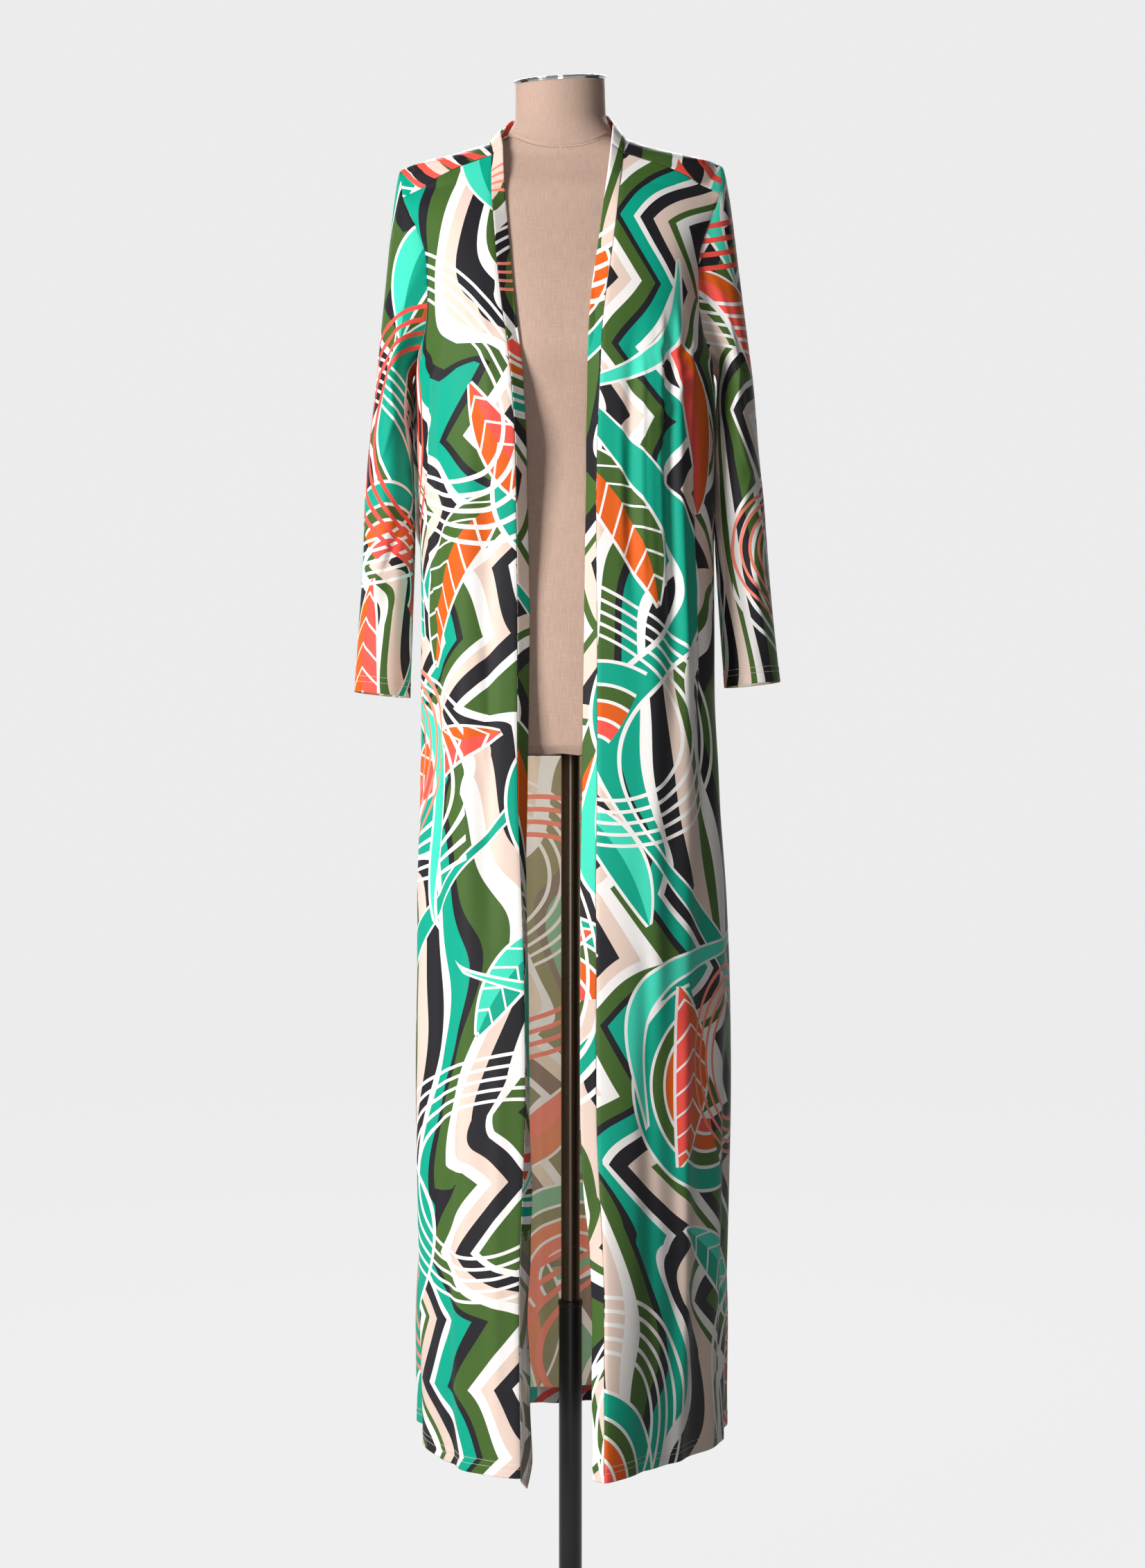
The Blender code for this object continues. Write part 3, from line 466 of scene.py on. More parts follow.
FrontRow = namedtuple("FrontRow", "edge_z right_y left_y side_x side_y side_z corner right_full left_full")
FRONT_ROWS = [
    FrontRow(0.259, -0.163, -0.180, 0.180, 0.000, 0.259, 1.00, 0.50, 0.12),
    FrontRow(0.450, -0.158, -0.172, 0.184, 0.002, 0.450, 1.00, 0.70, 0.28),
    FrontRow(0.700, -0.150, -0.160, 0.189, 0.004, 0.700, 1.00, 0.84, 0.50),
    FrontRow(0.900, -0.142, -0.147, 0.185, 0.005, 0.900, 1.00, 0.94, 0.75),
    FrontRow(1.045, -0.136, -0.138, 0.177, 0.006, 1.045, 1.00, 1.02, 0.98),
    FrontRow(1.150, -0.132, -0.132, 0.174, 0.006, 1.150, 1.00, 1.06, 1.06),
    FrontRow(1.230, -0.130, -0.130, 0.175, 0.006, 1.230, 1.00, 1.08, 1.08),
    FrontRow(1.330, -0.130, -0.130, 0.176, 0.006, 1.330, 1.00, 1.05, 1.05),
    FrontRow(1.430, -0.131, -0.131, 0.178, 0.006, 1.430, 1.00, 1.00, 1.00),
    FrontRow(1.500, -0.132, -0.132, 0.179, 0.006, 1.500, 1.00, 1.00, 1.00),
    FrontRow(1.540, -0.132, -0.132, 0.179, 0.006, 1.540, 1.00, 1.00, 1.00),
    FrontRow(1.553, -0.131, -0.131, 0.175, -0.022, 1.553, 0.97, 1.00, 1.00),
    FrontRow(1.577, -0.128, -0.128, 0.165, -0.046, 1.577, 0.93, 0.98, 0.98),
    FrontRow(1.615, -0.121, -0.121, 0.160, -0.056, 1.615, 0.88, 0.95, 0.95),
    FrontRow(1.664, -0.107, -0.107, 0.161, -0.057, 1.660, 0.82, 0.90, 0.90),
    FrontRow(1.708, -0.090, -0.090, 0.171, -0.051, 1.698, 0.74, 0.85, 0.85),
    FrontRow(1.745, -0.072, -0.072, 0.182, -0.043, 1.724, 0.66, 0.80, 0.80),
    FrontRow(1.789, -0.047, -0.047, 0.190, -0.034, 1.744, 0.50, 0.80, 0.80),
]

BackRow = namedtuple("BackRow", "side_x side_y side_z mid_y mid_z corner full")
BACK_ROWS = [
    BackRow(0.180, 0.000, 0.259, 0.160, 0.259, 1.06, 1.20),
    BackRow(0.184, 0.002, 0.450, 0.152, 0.450, 1.03, 1.05),
    BackRow(0.189, 0.004, 0.700, 0.145, 0.700, 1.00, 0.95),
    BackRow(0.185, 0.005, 0.900, 0.139, 0.900, 1.00, 0.98),
    BackRow(0.177, 0.006, 1.045, 0.134, 1.045, 1.00, 1.02),
    BackRow(0.174, 0.006, 1.150, 0.131, 1.150, 1.00, 1.06),
    BackRow(0.175, 0.006, 1.230, 0.129, 1.230, 1.00, 1.08),
    BackRow(0.176, 0.006, 1.330, 0.123, 1.330, 1.00, 1.05),
    BackRow(0.178, 0.006, 1.430, 0.117, 1.430, 1.00, 1.00),
    BackRow(0.179, 0.006, 1.500, 0.114, 1.500, 1.00, 1.00),
    BackRow(0.179, 0.006, 1.540, 0.113, 1.540, 1.00, 1.00),
    BackRow(0.178, 0.030, 1.553, 0.113, 1.553, 1.00, 1.00),
    BackRow(0.173, 0.050, 1.577, 0.113, 1.577, 0.98, 1.00),
    BackRow(0.170, 0.061, 1.615, 0.113, 1.615, 0.94, 0.98),
    BackRow(0.169, 0.064, 1.660, 0.113, 1.664, 0.90, 0.95),
    BackRow(0.175, 0.058, 1.705, 0.110, 1.716, 0.86, 0.90),
    BackRow(0.186, 0.038, 1.748, 0.102, 1.765, 0.80, 0.80),
]
ShoulderRow = namedtuple("ShoulderRow", "further tip neck bend_z middle")
SHOULDER_ROWS = [
    ShoulderRow(0.025, (0.191, 0.022, 1.775), (0.103, 0.042, 1.803), 1.794, (0, 0.093, 1.789)),
    ShoulderRow(0.050, (0.193, 0.003, 1.787), (0.095, 0.004, 1.815), 1.820, (0, 0.082, 1.812)),
    ShoulderRow(0.100, (0.190, -0.034, 1.744), (0.0785, -0.047, 1.789), 1.862, (0, 0.071, 1.838)),
]
# The share of a topmost section that runs from the shoulder's tip to the neck
SHOULDER_SHARE = 8 / 15

# A fold is a soft ridge, or a trough where its depth is below 0. Across is along the cloth from
# the band's seam or, on the back, from the middle. Skew above 0 makes its far side steeper.
Fold = namedtuple("Fold", "across_high across_low high low width depth skew", defaults=[0.0])
FOLDS = {
    "front_right": [
        Fold(0.034, 0.040, 1.520, 0.800, 0.012, -0.0050),
        Fold(0.060, 0.075, 1.480, 0.259, 0.022, 0.0060),
        Fold(0.105, 0.120, 1.500, 0.500, 0.014, -0.0050),
        Fold(0.150, 0.165, 1.300, 0.259, 0.024, 0.0055),
    ],
    "front_left": [
        Fold(0.036, 0.046, 1.620, 1.180, 0.010, -0.0050),
        Fold(0.058, 0.072, 1.620, 0.700, 0.013, 0.0045),
        Fold(0.078, 0.096, 1.600, 1.060, 0.010, -0.0060),
        Fold(0.100, 0.122, 1.580, 0.259, 0.015, 0.0050),
        Fold(0.124, 0.148, 1.560, 0.900, 0.012, -0.0055),
        Fold(0.170, 0.185, 1.200, 0.259, 0.024, 0.0050),
    ],
    "back": [
        Fold(-0.205, -0.215, 0.950, 0.259, 0.030, 0.0100),
        Fold(-0.220, -0.222, 0.520, 0.259, 0.026, 0.0080),
        Fold(-0.130, -0.140, 1.400, 0.259, 0.020, -0.0060),
        Fold(-0.075, -0.085, 1.600, 0.259, 0.022, 0.0050),
        Fold(-0.012, -0.020, 1.500, 0.259, 0.020, -0.0055),
        Fold(0.060, 0.066, 1.580, 0.259, 0.022, 0.0050),
        Fold(0.120, 0.132, 1.380, 0.259, 0.018, -0.0060),
        Fold(0.200, 0.212, 0.950, 0.259, 0.030, 0.0080),
        Fold(0.218, 0.220, 0.520, 0.259, 0.026, 0.0055),
    ],
}
FADE = 0.150

SleeveRing = namedtuple("SleeveRing", "z middle_x middle_y half_x half_y")
SLEEVE_RINGS = [
    SleeveRing(1.530, 0.2046, 0.004, 0.0208, 0.070),
    SleeveRing(1.440, 0.2077, 0.002, 0.0263, 0.063),
    SleeveRing(1.350, 0.2105, 0.000, 0.0303, 0.056),
    SleeveRing(1.250, 0.2158, -0.002, 0.0315, 0.050),
    SleeveRing(1.158, 0.2222, -0.004, 0.0330, 0.044),
]
CUFF_Z = {"right": 1.152, "left": 1.164}
SLEEVE_SHIFT = -0.0026
CUFF_SLOPE = 0.0035
CAP_SHARE = 0.40
SleeveFold = namedtuple("SleeveFold", "turn_high turn_low high low width depth")
SLEEVE_FOLDS = [
    SleeveFold(80, 130, 1.640, 1.440, 18, -0.0040),
    SleeveFold(150, 110, 1.420, 1.250, 20, 0.0030),
    SleeveFold(60, 95, 1.400, 1.200, 16, -0.0035),
    SleeveFold(260, 230, 1.560, 1.300, 20, -0.0040),
    SleeveFold(300, 270, 1.350, 1.180, 20, 0.0030),
]
SLEEVE_FADE = 0.060

NeckStation = namedtuple("NeckStation", "along reach")
NECK_STATIONS = [
    NeckStation(0.00, (-0.0145, -0.0030, 0.0125)),
    NeckStation(0.35, (-0.0110, 0.0000, 0.0165)),
    NeckStation(0.70, (-0.0050, -0.0050, 0.0190)),
    NeckStation(1.00, (0.0000, -0.0045, 0.0195)),
]

# %% [markdown]
# ## Finer folds
#
# Only the scene has these: the pleats that fall from the bust, the pulls from the armpits, the
# overlapping fold on the right front and two folds of the back that fill the space beside the
# sleeves.

# %% Finer folds
FINE_FADE = 0.060
FINE_FOLDS = {
    "front_right": [
        Fold(0.094, 0.128, 1.560, 1.330, 0.0055, 0.0062, 0.6),
        Fold(0.128, 0.100, 1.360, 1.190, 0.0065, 0.0045, 0.6),
        Fold(0.020, 0.032, 1.640, 1.380, 0.0070, 0.0018),
        Fold(0.046, 0.036, 1.240, 1.030, 0.0055, 0.0020, -0.4),
        Fold(0.060, 0.110, 1.600, 1.480, 0.0080, 0.0022),
        Fold(0.088, 0.096, 0.900, 0.259, 0.0120, -0.0040),
        Fold(0.030, 0.026, 0.760, 0.300, 0.0090, 0.0022),
        Fold(0.188, 0.194, 0.800, 0.259, 0.0110, -0.0050),
    ],
    "front_left": [
        Fold(0.026, 0.030, 1.500, 1.300, 0.0050, 0.0018),
        Fold(0.047, 0.054, 1.560, 1.250, 0.0050, 0.0036, 0.5),
        Fold(0.068, 0.082, 1.600, 1.220, 0.0050, 0.0044, 0.4),
        Fold(0.088, 0.106, 1.610, 1.160, 0.0052, 0.0040, -0.3),
        Fold(0.112, 0.132, 1.590, 1.120, 0.0055, 0.0042, 0.4),
        Fold(0.140, 0.080, 1.585, 1.500, 0.0090, 0.0036),
        Fold(0.144, 0.040, 1.560, 1.440, 0.0100, 0.0032),
        Fold(0.062, 0.060, 0.880, 0.259, 0.0120, -0.0036),
        Fold(0.110, 0.118, 0.780, 0.300, 0.0110, 0.0034),
        Fold(0.200, 0.206, 0.760, 0.300, 0.0120, -0.0040),
    ],
    "back": [
        Fold(-0.245, -0.252, 0.700, 0.259, 0.0110, -0.0050),
        Fold(-0.170, -0.176, 0.900, 0.259, 0.0130, -0.0044),
        Fold(-0.048, -0.040, 1.250, 0.259, 0.0100, 0.0036, 0.3),
        Fold(0.022, 0.016, 1.020, 0.259, 0.0095, 0.0040, -0.3),
        Fold(0.092, 0.098, 1.100, 0.259, 0.0110, 0.0038, 0.3),
        Fold(0.168, 0.172, 0.860, 0.259, 0.0130, -0.0044),
        Fold(0.243, 0.250, 0.700, 0.259, 0.0110, -0.0046),
        Fold(-0.191, -0.198, 1.590, 1.300, 0.0170, 0.0165),
        Fold(0.190, 0.193, 1.590, 1.300, 0.0165, 0.0150),
        Fold(-0.150, -0.100, 1.660, 1.480, 0.0120, 0.0026),
        Fold(0.150, 0.096, 1.650, 1.460, 0.0120, 0.0026),
        Fold(-0.040, -0.060, 1.700, 1.400, 0.0120, 0.0020),
        Fold(0.036, 0.048, 1.680, 1.380, 0.0120, 0.0018),
    ],
}
FINE_SLEEVE_FOLDS = [
    SleeveFold(110, 70, 1.560, 1.470, 7, 0.0022),
    SleeveFold(60, 120, 1.500, 1.400, 8, 0.0020),
    SleeveFold(130, 60, 1.430, 1.330, 8, 0.0020),
    SleeveFold(50, 110, 1.360, 1.270, 9, -0.0020),
    SleeveFold(100, 130, 1.300, 1.180, 8, 0.0018),
    SleeveFold(200, 240, 1.600, 1.460, 9, 0.0020),
    SleeveFold(250, 210, 1.460, 1.330, 9, -0.0020),
    SleeveFold(290, 320, 1.400, 1.230, 9, 0.0018),
]

# %% [markdown]
# ## Curves and surfaces

# %% Curves and surfaces
def smooth(places, values, at):
    """Reads a curve through values, one row of them for each place, that never overshoots them."""
    places, values = np.asarray(places, float), np.asarray(values, float)
    at = np.clip(np.asarray(at, float), places[0], places[-1])
    wide = (slice(None),) + (None,) * (values.ndim - 1)
    spans = np.diff(places)
    rises = np.diff(values, axis=0) / spans[wide]
    before, after = rises[:-1], rises[1:]
    same_way = before * after > 0
    inner = np.where(same_way, 2 * before * after / np.where(same_way, before + after, 1), 0)
    slopes = np.concatenate([rises[:1], inner, rises[-1:]])
    i = np.clip(np.searchsorted(places, at, side="right") - 1, 0, len(places) - 2)
    span = spans[i].reshape(at.shape + (1,) * (values.ndim - 1))
    t = ((at - places[i]) / spans[i]).reshape(span.shape)
    start, end = 2 * t**3 - 3 * t**2 + 1, 3 * t**2 - 2 * t**3
    leave, arrive = (t**3 - 2 * t**2 + t) * span, (t**3 - t**2) * span
    return values[i] * start + values[i + 1] * end + slopes[i] * leave + slopes[i + 1] * arrive


def column(table, name):
    """One column of a table."""
    return np.array([getattr(row, name) for row in table], float)


def ease(share):
    """A soft step from 0 to 1."""
    share = np.clip(share, 0, 1)
    return share * share * (3 - 2 * share)


def bell(away, width):
    """1 in the middle of a fold or dip, falling to nothing on both sides of it."""
    return np.exp(-((away / width) ** 2))


def lean(z):
    """How far the middle line stands to the side at a height."""
    return LEAN_AT_NECK * np.clip((z - FORM_FOOT) / (NECK_TOP - FORM_FOOT), -0.30, 1.0)


def leaned(points):
    """Moves points to the leaning middle line, with the left shoulder a little higher."""
    points = points.copy()
    tilt = SHOULDER_TILT * points[..., 0] * ease((points[..., 2] - 1.640) / 0.120)
    points[..., 0] += lean(points[..., 2])
    points[..., 2] += tilt
    return points


def mirrored(points, sign):
    """The points of the left side, or of the right side where sign is -1."""
    return np.asarray(points, float) * (sign, 1, 1)


def neck_shifted(points):
    """Moves the neckline sideways, because the coat sits a little off the form's middle."""
    near = ease((points[..., 2] - 1.700) / 0.080) * ease((0.190 - np.abs(points[..., 0])) / 0.110)
    return points + near[..., None] * (NECK_SHIFT, 0, 0)


def bend(start, corner, end, fullness, steps=160):
    """A line from start to end that leans towards corner."""
    t = np.linspace(0, 1, steps + 1)[:, None]
    a, b, c = (1 - t) ** 2, 2 * fullness * t * (1 - t), t**2
    return (np.asarray(start) * a + np.asarray(corner) * b + np.asarray(end) * c) / (a + b + c)


def lengths_along(line):
    """The length from the start of a line, or of each column of a grid, to each of its points."""
    steps = np.linalg.norm(np.diff(line, axis=0), axis=-1)
    return np.concatenate([0 * steps[:1], np.cumsum(steps, axis=0)])


def sampled(line, run, at):
    """A line's values where run, which grows along it, is at the given places."""
    return np.stack([np.interp(at, run, line[:, k]) for k in range(3)], axis=1)


def spaced(line, shares):
    """Points at the given shares of a line's length."""
    run = lengths_along(line)
    return sampled(line, run, np.asarray(shares) * run[-1])


def eased_along(run, reach, values):
    """Values smoothed over this reach along a line or a grid's rows."""
    near = bell(run[:, None] - run[None], reach) * np.gradient(run)
    return np.tensordot(near / near.sum(axis=1, keepdims=True), values, 1)


FORM_Z = column(FORM_RINGS, "z")
FORM_SHAPE = np.stack([column(FORM_RINGS, name) for name in FormRing._fields[1:]], axis=1)


def form_field(points):
    """0 on the form's surface, and negative inside it."""
    half_x, front_y, back_y, square = np.moveaxis(smooth(FORM_Z, FORM_SHAPE, points[..., 2]), -1, 0)
    depth = np.where(points[..., 1] < 0, front_y, back_y)
    along_x, along_y = np.abs(points[..., 0] / half_x), np.abs(points[..., 1] / depth)
    return (along_x**square + along_y**square) ** (1 / square) - 1


def off_form(points, half_wall=WALL / 2):
    """Moves points of cloth out until they clear the form."""
    flat = points.reshape(-1, 3).copy()
    near = np.nonzero(flat[:, 2] > FORM_FOOT - 0.03)[0]
    step = 0.0005
    for _ in range(6):
        if not len(near):
            break
        here = flat[near]
        more = (SHOULDER_CLEARANCE - FORM_CLEARANCE) * ease((here[:, 2] - SHOULDERS) / 0.020)
        clearance = FORM_CLEARANCE + more
        field = form_field(here)
        gradient = np.stack([form_field(here + step * axis) - field for axis in np.eye(3)], axis=1) / step
        steepness = np.linalg.norm(gradient, axis=1)
        short = clearance + half_wall - field / steepness
        close = short > 0
        near = near[close]
        flat[near] = here[close] + (gradient / steepness[:, None] * short[:, None])[close]
    return flat.reshape(points.shape)


def fold_height(piece, across, z):
    """How far the folds of a piece move its points out."""
    moved = np.zeros_like(across)
    for table, fade_length in ((FOLDS, FADE), (FINE_FOLDS, FINE_FADE)):
        for fold in table[piece]:
            down = np.clip((fold.high - z) / (fold.high - fold.low), 0, 1)
            middle = fold.across_high + (fold.across_low - fold.across_high) * down
            fade = ease((fold.high - z) / fade_length)
            if fold.low > HEM:
                fade = fade * ease((z - fold.low) / fade_length)
            away = across - middle
            width = fold.width * (1 - fold.skew * np.sign(away) * 0.6)
            moved += fold.depth * fade * bell(away, width)
    return moved


# The cloth dips at its seams and along its rows of stitches, which are given from its edge. Its
# hems are a little thicker, and rise towards the right side seam.
SEAM_GAP, SEAM_DIP, SEAM_DIP_WIDTH = 0.0004, 0.0009, 0.0022
HEM_DEPTH, HEM_LIFT = 0.019, 0.010
HEM_STITCH_ROWS, CUFF_STITCH_ROWS = (0.0105, 0.0170), (0.0125, 0.0190)
PUCKER, PUCKER_WIDTH = 0.00035, 0.0012
ROW_EASE = 0.014
FRONT_COLUMNS, BACK_HALF_COLUMNS, PANEL_ROWS = 84, 60, 340


def shares_with_fine_ends(count, length):
    """Shares across a piece, with close ones at both ends for the seams' dips."""
    ends = np.array([0, 0.0008, 0.0016, 0.0026, 0.004, 0.006]) / length
    inner = 0.009 / length
    return np.concatenate([ends, np.linspace(inner, 1 - inner, count), 1 - ends[::-1]])


def panel_heights(heights):
    """Rows from the hem to the shoulder seam, closer together near the top."""
    v = np.linspace(0, 1, PANEL_ROWS)
    low, high = heights[0], heights[-1] - SEAM_GAP
    body = low + (high - low) * (1 - (1 - v) * (0.62 + 0.38 * (1 - v)))
    top = high - np.array([0.0008, 0.0016, 0.0026, 0.004])
    hem = low + np.arange(0.001, 0.024, 0.001)
    return np.sort(np.concatenate([hem, body[(body == low) | (body > hem[-1])], top]))


def front_sections(side):
    """A front's sections from the band's seam to its side, as heights, points, lengths, shares."""
    sign = SIDE_SIGN[side]
    shares = shares_with_fine_ends(FRONT_COLUMNS, 0.22)
    sections, lengths = [], []
    for k, row in enumerate(FRONT_ROWS):
        z = row.edge_z
        edge_x = smooth(column(FRONT_EDGES, "z"), column(FRONT_EDGES, side + "_x"), z) - lean(z)
        edge_y, full = getattr(row, side + "_y"), getattr(row, side + "_full")
        edge = np.array((edge_x, edge_y, z))
        end = np.array((row.side_x * sign, row.side_y, row.side_z))
        corner = np.array((edge[0] + (end[0] - edge[0]) * row.corner, edge_y, (z + row.side_z) / 2))
        if k == len(FRONT_ROWS) - 1:
            corner = edge + (end - edge) * row.corner
        line = bend(edge, corner, end, full)
        length = lengths_along(line)[-1]
        trim = SEAM_GAP / 2 / length
        sections.append(spaced(line, trim + (1 - 2 * trim) * shares))
        lengths.append(length)
    heights = (column(FRONT_ROWS, "edge_z") + column(FRONT_ROWS, "side_z")) / 2
    return heights, np.array(sections), np.array(lengths), shares


def behind_neck(row):
    """The line from the side of the neck to the middle of the back."""
    neck, middle = np.array(row.neck), np.array(row.middle)
    corner = np.array((neck[0] * 1.04, middle[1], row.bend_z))
    return bend(neck, corner, middle, 0.9)


def back_sections():
    """The back's sections from side to side, as heights, points, lengths and shares."""
    half_shares = shares_with_fine_ends(BACK_HALF_COLUMNS * 2, 0.56)
    half_shares = half_shares[half_shares <= 0.5] * 2
    half_shares[-1] = 1.0
    halves, lengths = [], []
    for row in BACK_ROWS:
        side = np.array((row.side_x, row.side_y, row.side_z))
        middle = np.array((0, row.mid_y, row.mid_z))
        corner = np.array((row.side_x * row.corner, row.mid_y, (row.side_z + row.mid_z) / 2))
        line = bend(side, corner, middle, row.full)
        length = lengths_along(line)[-1]
        trim = SEAM_GAP / 2 / length
        halves.append(spaced(line, trim + (1 - trim) * half_shares))
        lengths.append(2 * length)
    for row in SHOULDER_ROWS:
        out = half_shares < SHOULDER_SHARE
        along = (half_shares[out] / SHOULDER_SHARE)[:, None]
        straight = np.array(row.tip) + np.subtract(row.neck, row.tip) * along
        behind = spaced(behind_neck(row), (half_shares[~out] - SHOULDER_SHARE) / (1 - SHOULDER_SHARE))
        halves.append(np.concatenate([straight, behind]))
        lengths.append(lengths[-1])
    halves = np.array(halves)
    sections = np.concatenate([mirrored(halves, -1), halves[:, -2::-1]], axis=1)
    heights = (column(BACK_ROWS, "side_z") + column(BACK_ROWS, "mid_z")) / 2
    heights = np.concatenate([heights, heights[-1] + column(SHOULDER_ROWS, "further")])
    shares = np.concatenate([half_shares / 2, 1 - half_shares[-2::-1] / 2])
    return heights, neck_shifted(sections), np.array(lengths), shares


def panel_surface(piece, heights, sections, lengths, shares, from_middle=False):
    """Points of a piece before its lean, and its cut in metres, as rows by columns."""
    rows = panel_heights(heights)
    points = smooth(heights, sections, rows)
    length = smooth(heights, lengths, rows)[:, None]
    across = (shares[None] - 0.5) * length if from_middle else shares[None] * length
    from_edges = np.minimum(shares, 1 - shares)[None] * length
    from_top = (rows[-1] - rows)[:, None] + 0 * across
    from_hem = (rows - rows[0])[:, None]
    inner = ease(from_edges / 0.03) * ease(from_top / 0.03) * ease(from_hem / 0.03)
    points = points + (eased_along(rows, ROW_EASE, points) - points) * inner[..., None]
    outward = points * (1 / 0.03, 1 / 0.02, 0)
    outward /= np.linalg.norm(outward, axis=-1, keepdims=True)
    z = points[..., 2]
    above_hem = z - HEM
    moved = fold_height(piece, across, z)
    moved -= SEAM_DIP * (bell(from_edges, SEAM_DIP_WIDTH) + bell(from_top, SEAM_DIP_WIDTH))
    moved += 0.0004 * ease((HEM_DEPTH - above_hem) / 0.002)
    for stitch_row in HEM_STITCH_ROWS:
        uneven = 1 + 0.4 * np.sin(across / 0.0021) * np.sin(across / 0.0173)
        moved -= PUCKER * uneven * bell(above_hem - stitch_row, PUCKER_WIDTH)
    sway = 1.0 if from_middle else 0.4
    moved += sway * 0.0010 * np.sin(across / 0.031 + 1.3) * ease((0.05 - above_hem) / 0.05)
    points = points + outward * moved[..., None]
    points[..., 2] += sway * 0.0012 * np.sin(across / 0.043) * ease((0.10 - above_hem) / 0.10)
    if piece != "front_left":
        to_side = across if piece == "front_right" else -across - 0.09
        points[..., 2] += HEM_LIFT * ease((to_side - 0.11) / 0.10) * ease((0.30 - above_hem) / 0.30)
    return off_form(points), np.stack([across, z + 0 * across], axis=-1)


def armhole(side, front, back):
    """The closed line where a sleeve is sewn in, from the armpit up the front and down the back."""
    front_edge = front[:, -1]
    back_edge = back[:, 0 if side == "right" else -1]
    up = front_edge[front_edge[:, 2] >= ARMPIT]
    down = back_edge[back_edge[:, 2] >= ARMPIT][::-1]
    return np.concatenate([up, down, up[:1]])


SLEEVE_AROUND, SLEEVE_ROWS = 110, 200
FINE_SLEEVE_FADE = 0.030


def sleeve_swell(degrees, z):
    """How far the folds of a sleeve move its points out."""
    moved = 0 * z
    for table, fade_length in ((SLEEVE_FOLDS, SLEEVE_FADE), (FINE_SLEEVE_FOLDS, FINE_SLEEVE_FADE)):
        for fold in table:
            down = np.clip((fold.high - z) / (fold.high - fold.low), 0, 1)
            middle = fold.turn_high + (fold.turn_low - fold.turn_high) * down
            fade = ease((fold.high - z) / fade_length) * ease((z - fold.low) / fade_length)
            moved = moved + fold.depth * fade * bell(degrees - middle, fold.width)
    return moved


def sleeve_surface(side, loop):
    """Points of a sleeve before its lean, from the armhole down, and its cut in metres."""
    sign = SIDE_SIGN[side]
    u = np.linspace(0, 1, SLEEVE_AROUND + 1)
    seam = spaced(loop, u)
    seam[-1] = seam[0]
    turn = 2 * math.pi * u
    degrees = np.degrees(turn)
    outward = np.stack([-sign * np.cos(turn), -np.sin(turn), 0 * turn], axis=1)
    rise = (1 - np.cos(turn)) / 2
    ring_z = np.concatenate([-column(SLEEVE_RINGS, "z")[:-1], [-CUFF_Z[side]]])
    shape = np.stack([column(SLEEVE_RINGS, name) for name in SleeveRing._fields[1:]], axis=1)

    def ring(z):
        middle_x, middle_y, half_x, half_y = smooth(ring_z, shape, np.array([-z]))[0]
        swell = sleeve_swell(degrees % 360, z + 0 * turn)
        slope = CUFF_SLOPE * -np.cos(turn) * ease((SLEEVE_RINGS[0].z - z) / 0.2)
        shift = SLEEVE_SHIFT * ease((SLEEVE_RINGS[0].z - z) / 0.1)
        return np.stack([
            sign * (middle_x + (half_x + swell) * -np.cos(turn)) + shift,
            middle_y + (half_y + swell) * -np.sin(turn), z + slope], axis=1)

    start = seam + np.array((sign * SEAM_GAP, 0, 0))
    top_z = SLEEVE_RINGS[0].z
    end = ring(top_z)
    out = np.stack([sign * (0.30 + 0.35 * rise), -0.35 * np.sin(turn), -0.95 + 0.20 * rise], axis=1)
    out /= np.linalg.norm(out, axis=1, keepdims=True)
    fall = (start[:, 2] - end[:, 2])[:, None]
    first = start + out * (0.004 + 0.010 * rise)[:, None]
    last = end + np.stack([-sign * 0.12 * rise, 0 * rise, 1 + 0 * rise], axis=1) * 0.45 * fall
    rows = []
    cuff_share = (1 - CAP_SHARE) / (SLEEVE_RINGS[0].z - CUFF_Z[side])
    cuff = 1 - np.arange(0.001, 0.024, 0.001)[::-1] * cuff_share
    body = np.linspace(0.03, 1, SLEEVE_ROWS)
    downs = np.concatenate([[0, 0.003, 0.007, 0.012, 0.02], body[body < cuff[0]], cuff, [1]])
    for v in downs:
        if v <= CAP_SHARE:
            s = v / CAP_SHARE
            line = start * (1 - s) ** 3 + first * 3 * s * (1 - s) ** 2
            line = line + last * 3 * s * s * (1 - s) + end * s**3
            line = line + outward * (sleeve_swell(degrees, line[:, 2]) * ease(s * 4))[:, None]
            away = np.linalg.norm(line - start, axis=1)
            line[:, 2] -= SEAM_DIP * rise * bell(away, SEAM_DIP_WIDTH)
        else:
            line = ring(top_z + (CUFF_Z[side] - top_z) * (v - CAP_SHARE) / (1 - CAP_SHARE))
            up = (1 - v) / cuff_share
            stitched = sum(bell(up - row, PUCKER_WIDTH) for row in CUFF_STITCH_ROWS)
            line = line + outward * (0.0003 * ease((0.0205 - up) / 0.002) - PUCKER * stitched)
        rows.append(line)
    points = np.array(rows)
    girth = lengths_along(points[len(points) * 2 // 3])[-1]
    cut = np.stack([u[None] * girth + 0 * points[..., 0], points[..., 2]], axis=-1)
    return points, cut


EDGE_EASE, BAND_ACROSS = 0.014, 20


